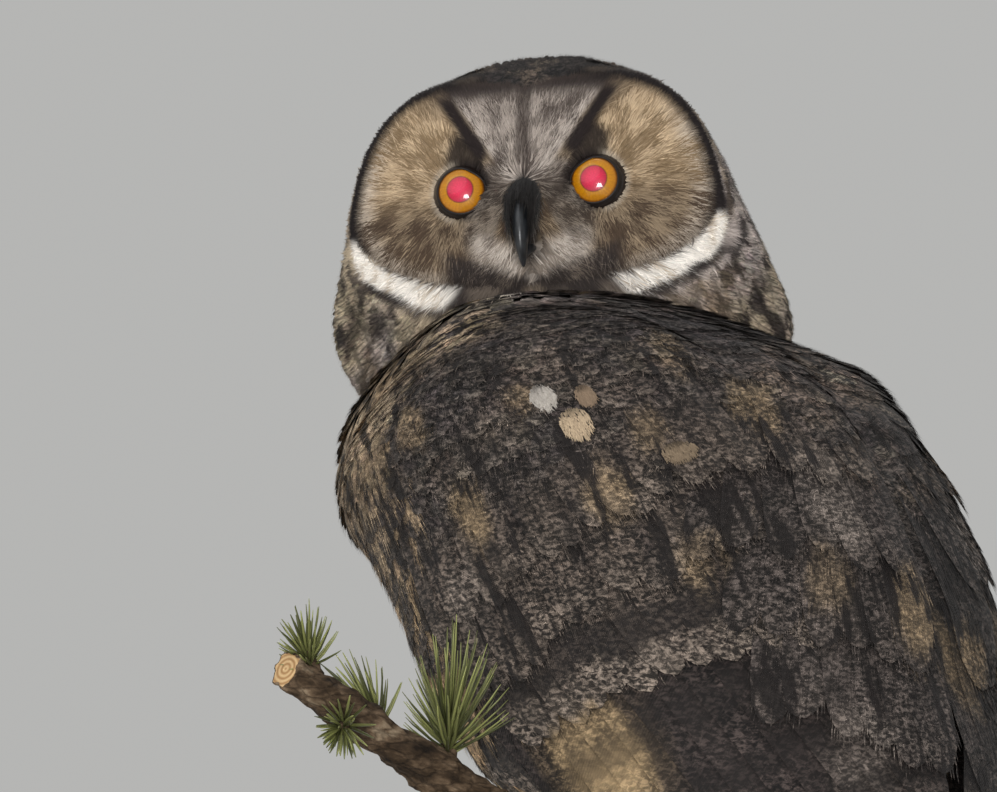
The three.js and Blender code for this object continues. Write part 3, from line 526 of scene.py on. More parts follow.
def meshPiece(name, points, triangles, uvSets=None, colours=None):
    mesh = bpy.data.meshes.new(name)
    mesh.vertices.add(len(points))
    mesh.vertices.foreach_set("co", (points * mm).astype(np.float32).ravel())
    mesh.loops.add(triangles.size)
    mesh.loops.foreach_set("vertex_index", triangles.astype(np.int32).ravel())
    mesh.polygons.add(len(triangles))
    mesh.polygons.foreach_set("loop_start", np.arange(0, triangles.size, 3, dtype=np.int32))
    mesh.polygons.foreach_set("use_smooth", np.ones(len(triangles), dtype=bool))
    mesh.update(calc_edges=True)
    for key, value in (uvSets or {}).items():
        layer = mesh.uv_layers.new(name=key)
        layer.data.foreach_set("uv", value[triangles.ravel()].astype(np.float32).ravel())
    for key, value in (colours or {}).items():
        writeColour(mesh, key, value)
    return linked(name, mesh)


def makeMeshObject(name, bm, levels=0, mostSides=1000):
    # shaded smooth, but for flat ends with more sides than that
    mesh = bpy.data.meshes.new(name)
    bm.to_mesh(mesh)
    bm.free()
    mesh.polygons.foreach_set("use_smooth", [len(face.vertices) <= mostSides for face in mesh.polygons])
    piece = linked(name, mesh)
    if levels:
        rounder = piece.modifiers.new("round", "SUBSURF")
        rounder.levels = rounder.render_levels = levels
    return piece


def remeshed(name, bm, voxelMm, smoothTurns=0):
    # overlapping forms joined into one closed surface
    piece = makeMeshObject(name, bm)
    remesh = piece.modifiers.new("remesh", "REMESH")
    remesh.mode = "VOXEL"
    remesh.voxel_size = voxelMm * mm
    if smoothTurns:
        smooth = piece.modifiers.new("smooth", "SMOOTH")
        smooth.iterations = smoothTurns
        smooth.factor = 0.5
    joined = bpy.data.meshes.new_from_object(piece.evaluated_get(bpy.context.evaluated_depsgraph_get()))
    joined.polygons.foreach_set("use_smooth", np.ones(len(joined.polygons), dtype=bool))
    piece.modifiers.clear()
    piece.data = joined
    return piece


def ringFaces(bm, loops):
    # strips of faces between each closed loop of vertices and the next
    for first, second in zip(loops, loops[1:]):
        for k in range(len(first)):
            after = (k + 1) % len(first)
            bm.faces.new((first[k], first[after], second[after], second[k]))


def loftRings(bm, rings):
    # rings of equal count, closed at both ends
    loops = [[bm.verts.new(Vector(p) * mm) for p in ring] for ring in rings]
    ringFaces(bm, loops)
    bm.faces.new(loops[0])
    bm.faces.new(list(reversed(loops[-1])))
    bmesh.ops.recalc_face_normals(bm, faces=bm.faces)


def softenNormals(piece, ups, share):
    # shading follows the body's own curve more than each vane's tilt
    normals = unit(readPoints(piece.data)[1] * (1 - share) + ups * share)
    piece.data.normals_split_custom_set_from_vertices(normals.tolist())


def finishPiece(piece, slot, material, *nodes):
    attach(piece, "root")
    if nodes:
        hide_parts(*nodes)
    if material is not None:
        piece.data.materials.clear()
        piece.data.materials.append(material)
    return piece


def vaneMesh(name, pointAt, look, template, bakePlace, patch=(0.003, 0.003), paint=None, toss=0.28):
    # pointAt(t, s, lift) gives (vanes, places, 3); look gives sizes, ground and any marks and bars per vane.
    # Returns the piece and the body's outward direction at each vertex
    along, across, triangles, lifts = template
    count, places = len(look["length"]), len(along)
    loose = lifts > 0
    t = np.repeat(along[None, :], count, axis=0)
    s = np.repeat(across[None, :], count, axis=0)
    barbs = int(loose.sum()) // 3
    shade = np.ones((count, places))
    if barbs:
        # a short barb on a long quill moves less along it
        stray = min(0.03, 0.35 * (along[loose][2] - along[loose][0]))
        t[:, loose] += np.repeat(rng.normal(0, stray, (count, barbs)), 3, axis=1)
        s[:, loose] += np.repeat(rng.normal(0, 0.05, (count, barbs)), 3, axis=1)
        shade[:, loose] = np.repeat(np.exp(rng.normal(0, toss, (count, barbs))), 3, axis=1)
    points = pointAt(t, s, lifts[None, :])
    a, b, c = (points[:, triangles[0][i]] for i in range(3))
    ups = unit(pointAt(t, s, lifts[None, :] + 1) - points)
    flip = np.sum(np.cross(b - a, c - a) * ups[:, 0], axis=1) < 0
    faces = triangles[None, :, :] + (np.arange(count) * places)[:, None, None]
    faces[flip] = faces[flip][:, :, ::-1]
    length, width = look["length"][:, None], look["width"][:, None]
    vane = np.stack([0.5 + 0.5 * s, t], axis=-1)
    seed = np.stack([rng.uniform(0, 90, count), rng.uniform(0, 90, count)], axis=-1)[:, None, :]
    inMm = np.stack([s * width, t * length], axis=-1) + seed
    bake = np.stack([bakePlace[0][:, None] + (vane[..., 0] - 0.5) * patch[0],
                     bakePlace[1][:, None] + (t - 0.5) * patch[1]], axis=-1)
    spread = {"marks": np.zeros((count, 3)), "bars": np.zeros((count, 3)), **look}
    spread = {key: np.array(np.broadcast_to(spread[key].reshape(count, -1, 3), (count, places, 3)))
              for key in ("ground", "marks", "bars")}
    if paint is not None:
        spread["ground"], spread["marks"] = paint(points.reshape(-1, 3), spread["ground"].reshape(-1, 3),
                                                  spread["marks"].reshape(-1, 3))
    spread["ground"] = np.clip(spread["ground"].reshape(count, places, 3) * shade[..., None], 0.001, 0.95)
    maps = {"Vane": vane, "VaneMm": inMm, "OFBake": bake}
    piece = meshPiece(name, points.reshape(-1, 3), faces.reshape(-1, 3),
                      {key: value.reshape(-1, 2) for key, value in maps.items()},
                      {key: value.reshape(-1, 3) for key, value in spread.items()})
    return piece, ups.reshape(-1, 3)


def surfaceSteps(surface, u, v, metric):
    # millimetres on the surface for one step of u and one of v
    zero = np.zeros(len(u))
    du, dv = metric
    stepU = np.linalg.norm(surface(u + du, v, zero) - surface(u - du, v, zero), axis=1) / (2 * du)
    stepV = np.linalg.norm(surface(u, v + dv, zero) - surface(u, v - dv, zero), axis=1) / (2 * dv)
    return stepU, stepV


def onSurface(surface, u, v, look, metric):
    # vanes that follow a surface S(u, v, height) from their roots
    stepU, stepV = surfaceSteps(surface, u, v, metric)
    stepU, stepV = np.maximum(stepU, 0.05)[:, None], np.maximum(stepV, 0.12)[:, None]
    length, width, heading, bend, low, high = (
        look[key][:, None] for key in ("length", "width", "heading", "bend", "low", "high"))

    def placeAt(t, s):
        angle = heading + bend * t
        ahead, aside = length * t, width * s
        return (u[:, None] + (ahead * np.cos(angle) - aside * np.sin(angle)) / stepU,
                v[:, None] + (ahead * np.sin(angle) + aside * np.cos(angle)) / stepV)

    def pointAt(t, s, lift=0.0):
        uu, vv = placeAt(t, s)
        height = low + (high - low) * np.maximum(t, 0) ** 0.8 - 0.14 * width * s ** 2 + lift
        return surface(uu.ravel(), vv.ravel(), height.ravel()).reshape(*uu.shape, 3)

    return pointAt, placeAt


def tiers(surface, uEnds, vEnds, size, exposure=0.3, crowd=0.6, metric=(0.5, 0.5)):
    # staggered rows of roots; each row's spacing follows the size of its feathers
    (uFrom, uTo), (vFrom, vTo) = uEnds, vEnds
    way = 1 if uTo > uFrom else -1
    u, row, uAll, vAll = uFrom, 0, [], []
    parts = 360
    line = np.linspace(vFrom, vTo, parts + 1)
    while (uTo - u) * way > 0:
        at = np.full(len(line), float(u))
        length, half = size(at, line)
        stepU, stepV = surfaceSteps(surface, at, line, metric)
        stepU = np.mean(stepU)
        density = stepV * (vTo - vFrom) / parts / (2 * half * crowd)
        count = np.concatenate([[0], np.cumsum((density[1:] + density[:-1]) / 2)])
        total = int(count[-1])
        if total > 0:
            wanted = np.arange(total) + (0.75 if row % 2 else 0.25) + rng.normal(0, 0.12, total)
            v = np.interp(wanted, count, line)
            rowStep = np.mean(length) * exposure / max(stepU, 0.05)
            uAll.append(u + rng.normal(0, 0.36, total) * rowStep)
            vAll.append(v)
        u += way * np.mean(length) * exposure / max(stepU, 0.05)
        row += 1
    return np.concatenate(uAll), np.concatenate(vAll)


def bakeAt(u, uEnds, v, vEnds):
    # root's place on the skin's own unwrap, kept off the edges of the map
    across = 0.01 + 0.98 * (v - vEnds[0]) / (vEnds[1] - vEnds[0])
    along = 0.01 + 0.98 * (u - uEnds[0]) / (uEnds[1] - uEnds[0])
    return np.clip(across, 0.004, 0.996), np.clip(along, 0.004, 0.996)


print("tables, camera and materials ready")


# Skin: the flesh forms joined into one closed surface, drawn in by the coat's depth
skinSet = {"voxelMm": 2.6, "depthMm": 3.4, "faceDepthMm": 1.3, "smoothTurns": 6}

plumage = {key: hexColour(value) for key, value in {
    "mantleDark": "#2f2a2a", "mantle": "#38322f", "mantlePale": "#564b42", "nape": "#a89d97",
    "napeBuff": "#b2a38c", "breast": "#86735c", "breastPale": "#ad9980", "belly": "#a38a69", "leg": "#b39a78",
    "rump": "#6b5c4b", "covert": "#2c2725", "covertPale": "#413933", "greater": "#221e1c",
    "secondary": "#27211f", "primaryBuff": "#968060", "primary": "#342c27", "tail": "#5c4f41",
    "tailBuff": "#836a4c", "white": "#e6e0d8", "dark": "#1e1918", "crown": "#1a1615", "crownPale": "#40372f",
    "buffSpot": "#7a6850", "paleSpot": "#8c8178", "under": "#b8a384", "throat": "#2d2725",
    "throatPale": "#62584f",
}.items()}


def speckle(points, scaleMm, seed):
    # soft noise between 0 and 1 from a few crossed waves
    p = points / scaleMm
    total = np.zeros(len(p))
    for i in range(5):
        way = [math.sin(seed + 2.1 * i), math.cos(seed * 1.3 + 1.7 * i), math.sin(seed * 0.7 + 3.1 * i)]
        total += np.sin(p @ np.array(way) * (1 + 0.35 * i) + seed * i)
    return 0.5 + total / 6


# Patches of the back by place along and round the body, their half sizes in millimetres, tone and strength
patches = [
    (10, 88, 7, 5, "buffSpot", 0.8), (-2, 62, 7, 6, "buffSpot", 0.6), (-16, 21, 15, 8, "paleSpot", 0.25),
    (-45, 8, 10, 8, "buffSpot", 0.7), (12, 28, 9, 6, "buffSpot", 0.55), (-24, 50, 7, 6, "buffSpot", 0.4),
    (36, 92, 6, 5, "buffSpot", 0.5), (-8, 96, 9, 6, "paleSpot", 0.25),
    (-58, 87, 15, 14.5, "primaryBuff", 1.0), (10, 51, 4.5, 4.5, "buffSpot", 0.45),
    (28, 71, 4, 3.5, "buffSpot", 0.4), (-76, 30, 10, 9, "paleSpot", 0.2), (30, 40, 8, 4, "buffSpot", 0.3),
    (-36, 28, 8, 6, "buffSpot", 0.35),
]
darkPatches = [
    (-14, 93, 3.5, 8), (-60, 74, 9, 3.5), (4, 80, 9, 2), (-20, 59, 9, 2), (-30, 48, 10, 2), (-8, 71, 9, 2),
]


def bodyPaint(points, ground, marks):
    # the back's patches laid over the ground colours; pale ones have few cross lines
    offset = points - bodyCentre
    along, left = offset @ bodyUp, offset[:, 0]
    degrees = np.degrees(np.arctan2(left, -(offset @ bellyward)))
    around = np.hypot(left, offset @ bellyward) * math.pi / 180
    ragged = 0.35 * (speckle(points, 2.2, 7.0) - 0.5)
    for place, turn, high, wide, tone, force in patches:
        # the right side carries the same kind of patches a little lower
        for side in (1, -1):
            out = np.hypot((along - place - 5 * (side - 1)) / high, (degrees - side * turn) * around / wide)
            share = ramp(out + ragged, 1.15, 0.75) * force
            ground = mixed(ground, tone, share)
            marks = marks * (1 - (0.9 if tone == "primaryBuff" else 0.5) * share[:, None])
    for place, turn, high, wide in darkPatches:
        out = np.hypot((along - place) / high, (degrees - turn) * around / wide)
        ground = mixed(ground, "dark", ramp(out + ragged, 1.3, 0.6) * 0.85)
    return ground, marks


def napeColour(points):
    # grey and buff feathers with dark streaks about 2 mm wide that run down the neck
    drawn = points * [1, 1, 0.38]
    pale = mixed("nape", "napeBuff", ramp(speckle(points, 8, 4.1), 0.35, 0.7))
    pale = pale * (0.8 + 0.5 * speckle(drawn, 1.1, 6.6))[..., None]
    dark = ramp(0.65 * speckle(drawn, 1.5, 2.3) + 0.35 * speckle(drawn, 0.7, 3.7), 0.53, 0.42)
    return mixed(pale, "mantleDark", dark * 0.93)


def bodyLook(along, degrees, points):
    # ground colour and marks of the trunk's coat by place: marks are streak, cross lines, pale tip
    near = folded(degrees)
    blotch = speckle(points, 9, 1.0)
    fine = speckle(points, 3.5, 8.0)
    back = mixed("mantle", "mantlePale", ramp(blotch + 0.5 * (fine - 0.5), 0.5, 0.95) * 0.9)
    back = mixed(back, "mantleDark", ramp(blotch, 0.5, 0.1) * 0.7)
    back = mixed(back, "mantleDark", ramp(along, 30, 44) * 0.35)
    napeHere = ramp(along, 60, 70)
    back = mixed(back, napeColour(points), napeHere)
    back = mixed(back, "rump", ramp(along, -45, -80))
    front = mixed("breast", "breastPale", ramp(blotch, 0.45, 0.8))
    front = mixed(front, "belly", ramp(along, 30, -10))
    front = mixed(front, "under", ramp(along, -50, -85))
    toFront = ramp(near + 8 * (blotch - 0.5), 86, 102)
    ground = mixed(back, front, toFront)
    streak = 0.62 + 0.38 * toFront + 0.2 * napeHere - 0.6 * ramp(along, -30, -70) * toFront
    lines = 0.95 - 0.55 * toFront - 0.7 * napeHere * (1 - 0.7 * toFront)
    return ground, np.stack([streak, lines, 0.05 + 0.1 * toFront], axis=-1)


def faceColour(left, up, spot):
    # colours of the facial disc, brows, lores, chin and rim by place in millimetres about the face's middle
    x = np.abs(left)
    share, angle = facePlace(left, up)
    near = folded(angle)
    eyeOut = np.hypot(x - eyeSide, up - eyeUp)
    colour = mixed("#7b674e", "#bda688", ramp(spot, 0.3, 0.8) * ramp(up + 0.3 * x, 0, 18))
    low = mixed("#493b2f", "#867560", ramp(spot, 0.35, 0.75))
    colour = mixed(colour, low, ramp(up - 0.12 * x + 3 * (spot - 0.5), 3, -8))
    # the disc darkens to its upper inner corner and towards the crown
    colour = mixed(colour, "#3b322d", ramp(share, 0.62, 0.9) * ramp(near, 52, 30))
    # greyish outer fringe with pale tips
    fringe = ramp(share, 0.86, 0.93) * ramp(near, 50, 72) * ramp(spot, 0.35, 0.6) * 0.8
    colour = mixed(colour, "#b3a799", fringe)
    # black round the eye, widest above its inner side
    patch = np.hypot((x - eyeSide + 1.5) / 5.6, (up - eyeUp - 9.0) / 6.8)
    colour = mixed(colour, "#241e1c", ramp(patch + 0.3 * (spot - 0.5), 1.3, 0.65) * 0.93)
    # grey bridge between the eye's inner corner and the brow
    bridge = ramp(np.hypot((x - 8) / 6, (up - 4) / 7), 1.1, 0.6)
    colour = mixed(colour, mixed("#4b423c", "#857b72", ramp(spot, 0.3, 0.75)), bridge)
    colour = mixed(colour, "#231c1a", ramp(eyeOut, 8.6, 7.0) * ramp(x - eyeSide, 3, -2))
    paleRing = ramp(eyeOut, 8.8, 7.6) * ramp(eyeOut, 5.8, 6.6) * ramp(x - eyeSide, 0, 4) * 0.6
    colour = mixed(colour, "#b5a999", paleRing)
    # brow fan, pale grey-white strands with dark between them
    browEdge = 2.2 + 0.6 * np.maximum(up, 0)
    brow = ramp(x - browEdge, 1.0, -1.4) * ramp(up, 0.5, 4)
    browTone = mixed("#4f4641", "#a69b92", ramp(spot, 0.25, 0.75))
    browTone = mixed(browTone, "#b6aca3", ramp(x - browEdge, -4.5, -1.5) * ramp(spot, 0.4, 0.7) * 0.6)
    browTone = mixed(browTone, "#3a312d", ramp(x, 2.6, 0.8) * ramp(up, 5, 10) * 0.75)
    browTone = mixed(browTone, "#2f2826", ramp(up + 2 * spot, 27, 30.5))
    colour = mixed(colour, browTone, brow * ramp(share, 1.02, 0.96))
    # dark line that runs up and out along the brow's edge
    edgeLine = ramp(np.abs(x - browEdge - 1.8), 3.0, 1.0) * ramp(up, 8, 13) * ramp(share, 0.97, 0.88)
    colour = mixed(colour, "#231c1b", edgeLine)
    # pale strands between eye and bill, spreading down over the cheek
    lore = ramp(x - (2.6 + 0.5 * np.maximum(-up, 0)), 0.2, 2.0) * ramp(x, 19, 12.5)
    lore = lore * ramp(up, 4.5, 1.0) * ramp(up, -17, -10)
    loreTone = mixed("#3f3731", "#7c7268", ramp(spot, 0.3, 0.75))
    colour = mixed(colour, loreTone, lore * 0.85)
    # pale chin in a shallow V with the dark throat below it
    above = up + 20 - 0.4 * x
    chin = ramp(above, 8.5, 4.5) * ramp(x, 17, 11)
    colour = mixed(colour, mixed("#82776d", "#bbb1a7", ramp(spot, 0.3, 0.7)), chin)
    throat = mixed("throat", "throatPale", ramp(spot, 0.45, 0.8))
    colour = mixed(colour, throat, ramp(above, 0.9, -0.5) * ramp(x, 25, 19))
    # near-black bristles over the bill's root and down both sides of the bill
    bristle = ramp(np.hypot(x / 3.8, (up + 6) / 10.5), 1.15, 0.75)
    colour = mixed(colour, "#211b1a", bristle)
    # black line round the rim above the white
    rim = ramp(share, 0.962, 0.985)
    return mixed(colour, "#1c1717", rim * ramp(near, 20, 34) * ramp(near, 108, 98))


def rimDistance(q, angle):
    # millimetres past the disc's rim, less than nothing inside it
    near = folded(angle)
    radius = tableValue(discRadii, near)
    span = np.hypot(headRadius(angle) - radius, tableValue(discRimForward, near) - 4)
    beyond = np.clip(q - 1, 0, 0.4) / 0.4 * span + np.maximum(q - 1.4, 0) * 75
    return np.where(q < 1, (q - 1) * radius, beyond)


def headLook(q, angle, points):
    # behind the disc's rim: black line, white lower rim, mottled crown, nape, cheek and throat
    near = folded(angle)
    out = rimDistance(q, angle)
    blotch = speckle(points, 3.4, 2.3)
    wide = speckle(points, 9, 4.1)
    crown = mixed("crown", "crownPale", ramp(blotch, 0.5, 0.85) * 0.8)
    side = napeColour(points)
    ground = mixed(crown, side, ramp(near, 50, 85))
    # buff cheek below the white rim, dark throat under the chin
    cheek = mixed(side, "breastPale", ramp(wide, 0.4, 0.75) * 0.5)
    ground = mixed(ground, cheek, ramp(near, 104, 122) * ramp(out, 7, 12))
    throat = mixed("throat", "throatPale", ramp(blotch, 0.45, 0.85) * 0.8)
    ground = mixed(ground, throat, np.maximum(ramp(near, 133, 140), ramp(near, 100, 108) * ramp(out, 9, 6.5)))
    ground = mixed(ground, "#75685a", ramp(near, 170, 176) * ramp(out, -1, 2))
    # thin pale speckled band just outside the black line
    band = ramp(out, 1.4, 2.2) * ramp(out, 5.0, 3.6) * ramp(near, 100, 92) * ramp(near, 30, 45)
    ground = mixed(ground, mixed("#4d443d", "#8f8171", ramp(blotch, 0.45, 0.7)), band * 0.9)
    black = ramp(out, 1.7, 0.9) * ramp(near, 24, 36) * ramp(near, 104, 97)
    ground = mixed(ground, "#1c1717", black)
    wide = 1.4 + 3.0 * ramp(near, 96, 108) + 1.6 * (blotch - 0.5)
    white = ramp(near, 94, 98) * ramp(near, 138, 133) * ramp(out, -0.6, 0.2) * ramp(out - wide, 0.7, -0.3)
    flecked = mixed("white", "#a08c70", ramp(speckle(points, 0.8, 9.0), 0.68, 0.85) * 0.7)
    ground = mixed(ground, flecked, white)
    streak = ramp(near, 55, 85) * ramp(out, 5, 9) * (1 - white)
    lines = (0.95 - 0.72 * ramp(near, 55, 85)) * (1 - white) * (1 - black)
    return ground, np.stack([streak, lines, 0.05 * lines], axis=-1), white


def headPlace(points):
    # q and angle of points near the head, for the skin's colours
    left, forward, up = fromHead(points)
    angle = np.degrees(np.arctan2(left, up))
    near = folded(angle)
    share = np.hypot(left, up) / tableValue(discRadii, near)
    rim = tableValue(discRimForward, near)
    isFace = forward > rim - 4
    backward = np.clip(-forward / headBack, -1, 1)
    onEdge = 1.05 + 0.3 * (rim - forward) / np.maximum(rim - 4, 1)
    behind = 1.4 + (np.degrees(np.arcsin(backward)) + 6) / 96
    return np.where(isFace, np.minimum(share, 1.05), np.where(forward > 4, onEdge, behind)), angle, left, up


def skinColour(points):
    q, angle, left, up = headPlace(points)
    offset = points - bodyCentre
    along = offset @ bodyUp
    belly = offset @ bellyward
    degrees = np.degrees(np.arctan2(offset[:, 0], -belly))
    body, _ = bodyLook(along, degrees, points)
    head, _, _ = headLook(q, angle, points)
    face = faceColour(left, up, speckle(points, 2.0, 5.0))
    head = mixed(head, face, ramp(q, 1.02, 0.98))
    toHead = ramp(np.linalg.norm(points - headCentre, axis=1), 58, 51)
    # a fifth darker than the coat: painted shade of the feathers lying over it
    return mixed(body, head, toHead) * 0.8


def closedGrid(bm, outer, inner):
    # a pad between two grids of points, closed round its edge
    rows, columns = outer.shape[:2]
    top = [[bm.verts.new(p * mm) for p in row] for row in outer]
    under = [[bm.verts.new(p * mm) for p in row] for row in inner]
    for i in range(rows - 1):
        for j in range(columns - 1):
            bm.faces.new((top[i][j], top[i][j + 1], top[i + 1][j + 1], top[i + 1][j]))
            bm.faces.new((under[i][j], under[i + 1][j], under[i + 1][j + 1], under[i][j + 1]))
    edge = [(0, j) for j in range(columns)] + [(i, columns - 1) for i in range(1, rows)]
    edge += [(rows - 1, j) for j in range(columns - 2, -1, -1)] + [(i, 0) for i in range(rows - 2, 0, -1)]
    for (i, j), (k, m) in zip(edge, edge[1:] + edge[:1]):
        bm.faces.new((top[k][m], top[i][j], under[i][j], under[k][m]))


def makeSkin():
    bm = bmesh.new()
    for name in ("torso", "neck"):
        bm.from_mesh(bpy.data.objects[name].data)
    rows, columns = 24, 14
    for side in (1, -1):
        for outline in (armOutline, scapularOutline):
            us = np.linspace(outline[0][0] + 2, outline[-1][0] - 1, rows)
            uu = np.repeat(us[:, None], columns, axis=1)
            inner, outer = tableValue(outline, us, 1)[:, None], tableValue(outline, us, 2)[:, None]
            vv = (inner + (outer - inner) * np.linspace(0, 1, columns)[None, :]) * side
            low = bodyPoint(uu.ravel(), vv.ravel(), np.full(uu.size, -4.0)).reshape(rows, columns, 3)
            high = coatPoint(uu.ravel(), vv.ravel(), np.zeros(uu.size)).reshape(rows, columns, 3)
            closedGrid(bm, high, low)
    # the head from its own rings, without the ruff that stands on it
    angles = np.linspace(0, 360, 48, endpoint=False)
    rings = [[bm.verts.new(p * mm) for p in headPoint(np.full(48, q), angles, np.zeros(48))]
             for q in (*np.linspace(0.1, 1, 9), 1.2, *np.linspace(1.4, 2.36, 12))]
    ringFaces(bm, rings)
    bm.faces.new(rings[0])
    bm.faces.new(list(reversed(rings[-1])))
    skin = remeshed("skin", bm, skinSet["voxelMm"], skinSet["smoothTurns"])
    points, normals = readPoints(skin.data)
    left, forward, up = fromHead(points)
    onFace = ramp(forward, 8, 14) * ramp(np.hypot(left, up), 46, 40)
    depth = skinSet["depthMm"] * (1 - onFace) + skinSet["faceDepthMm"] * onFace
    writeColour(skin.data, "ground", skinColour(points))
    points = points - normals * depth[:, None]
    skin.data.vertices.foreach_set("co", (points * mm).astype(np.float32).ravel())
    skin.data.update()
    return skin


def skinMaterial():
    # skin under the coat, seen only between feathers: matt, in the coat's own colours, downy bump of 0.8 mm
    material, tree = newMaterial("downy skin", {"Roughness": 0.9, "IOR": 1.45, "Specular IOR Level": 0.15})
    ground = addNode(tree, "Attribute", {"attribute_name": "ground"})
    place = addNode(tree, "TexCoord").outputs["Object"]
    down = addNode(tree, "TexNoise", {"Scale": 1250.0, "Detail": 2.0}, {"Vector": place})
    shade = addNode(tree, "MapRange", {1: 0.3, 2: 0.7, 3: 0.75, 4: 1.1}, {0: down})
    feed(tree, colour=addNode(tree, "VectorMath", {"operation": "SCALE"}, {0: ground, "Scale": shade}),
         bump=addNode(tree, "Bump", {"Strength": 0.5, "Distance": 0.0004}, {"Height": down}))
    return material


skin = finishPiece(makeSkin(), "plumage", skinMaterial(), "torso", "neck")
print("skin ready:", len(skin.data.vertices), "points")


def exactGround(placeAt, pointAt, template, lookAt, count):
    # the ground colour at every vertex of every vane, for markings with crisp edges
    t, s = np.repeat(template[0][None], count, axis=0), np.repeat(template[1][None], count, axis=0)
    u, v = placeAt(t, s)
    return lookAt(u.ravel(), v.ravel(), pointAt(t, s).reshape(-1, 3))[0].reshape(count, -1, 3)


def contourCoat(name, u, v, size, heading, lookAt, keep=None, slot="plumage", template=vaneContour,
                uEnds=(90, -110), vEnds=(-180, 180), low=-2.2, high=0.35, surface=coatPoint,
                metric=(0.5, 0.5), exact=True, toss=0.14):
    if keep is not None:
        u, v = u[keep], v[keep]
    count = len(u)
    length, half = size(u, v)
    length = length * rng.normal(1, 0.07, count)
    half = half * rng.normal(1, 0.06, count)
    ground, marks = lookAt(u, v, surface(u, v, np.zeros(count)))[:2]
    shade = rng.normal(1, 0.07, (count, 1)) * (1 + rng.normal(0, 0.02, (count, 3)))
    marks = marks * rng.normal(1, 0.08, marks.shape)
    look = {
        "length": length, "width": half, "heading": heading(u, v) + rng.normal(0, 0.1, count),
        "bend": rng.normal(0, 0.12, count), "low": np.full(count, low),
        "high": high + rng.normal(0, toss, count), "ground": ground * shade, "marks": np.clip(marks, 0, 1),
    }
    pointAt, placeAt = onSurface(surface, u, v, look, metric)
    if exact:
        look["ground"] = exactGround(placeAt, pointAt, template, lookAt, count) * shade[:, None, :]
    paint = bodyPaint if surface is coatPoint else None
    piece, ups = vaneMesh(name, pointAt, look, template, bakeAt(u, uEnds, v, vEnds), paint=paint)
    softenNormals(piece, ups, 0.72)
    finishPiece(piece, slot, headVane if slot == "face_feathers" else contourVane)
    print(name, count, "feathers,", len(piece.data.polygons), "triangles")


def growSpots(name, rows):
    # rounded tips of loose pale barbs over the coat: place, half sizes along and across in mm, height, colour
    strands = 420
    at = np.repeat(np.array([row[:5] for row in rows], float), strands, axis=0)
    tone = np.repeat(np.array([hexColour(row[5]) for row in rows]), strands, axis=0)
    count = len(at)
    turn, out = rng.uniform(0, 2 * math.pi, count), np.sqrt(rng.uniform(0, 1, count))
    here, beside = (coatPoint(at[:, 0], at[:, 1] + step, np.zeros(count)) for step in (0, 1))
    around = np.linalg.norm(beside - here, axis=1)
    u = at[:, 0] + 0.8 + at[:, 2] * out * np.cos(turn)
    v = at[:, 1] + at[:, 3] * out * np.sin(turn) / around
    # the root end lies in the shade of the feather above
    shade = 1 - 0.55 * ramp(out * np.cos(turn), 0.45, 1.0) - 0.2 * out ** 4
    look = {
        "length": rng.uniform(1.3, 2.1, count), "width": np.full(count, 0.13),
        "heading": math.pi + rng.normal(0, 0.12, count), "bend": rng.normal(0, 0.15, count),
        "low": at[:, 4], "high": at[:, 4] + rng.uniform(0.3, 0.8, count),
        "ground": np.clip(tone * (rng.normal(1, 0.1, count) * shade)[:, None], 0, 1),
    }
    pointAt, _ = onSurface(coatPoint, u, v, look, (0.5, 0.5))
    piece, ups = vaneMesh(name, pointAt, look, strand, bakeAt(u, (90, -110), v, (-180, 180)))
    softenNormals(piece, ups, 0.8)
    finishPiece(piece, "plumage", faceStrand)


# Trunk: length and half width of a feather
trunkSet = {"neck": (12.5, 2.7), "mantle": (17, 4.3), "front": (21, 4.6)}


def trunkSize(u, v):
    toNeck, front = ramp(u, 44, 66), ramp(folded(v), 85, 110)
    sizes = []
    for mantle, breast, neck in zip(trunkSet["mantle"], trunkSet["front"], trunkSet["neck"]):
        below = mantle * (1 - front) + breast * front
        sizes.append(below * (1 - toNeck) + neck * toNeck)
    return sizes


def trunkHeading(u, v):
    # down the body, fanning a little outwards over the back
    fan = 0.22 * np.sin(np.radians(v) * 2) * ramp(np.abs(v), 130, 60)
    return math.pi - fan


def underWing(u, v):
    near = folded(v)
    inner, outer = tableValue(armOutline, u, 1), tableValue(armOutline, u, 2)
    return (near > inner - 2) & (near < outer - 12) & (u < 52)


for name, rows, turns, exposure, crowd, bakeTurns in (
    ("coat_neck", (77, 46), (-180, 180), 0.27, 0.56, (-180, 180)),
    ("coat_back", (50, -98), (-112, 112), 0.27, 0.58, (-180, 180)),
    ("coat_front", (50, -104), (100, 260), 0.26, 0.56, (80, 280)),
):
    u, v = tiers(coatPoint, rows, turns, trunkSize, exposure, crowd)
    contourCoat(name, u, v, trunkSize, trunkHeading, bodyLook,
                keep=~underWing(u, v) if name == "coat_back" else None, vEnds=bakeTurns)

# Pale spots on the left shoulder
growSpots("spot_feathers", [
    (25.5, 63.5, 3.3, 2.7, 1.1, "#aaa39b"), (16.5, 60.5, 4.0, 3.5, 1.2, "#b09c82"),
    (22.5, 56.3, 2.6, 2.1, 1.0, "#85725f"), (1.5, 46, 2.4, 4.0, 3.4, "#7c6c59"),
])

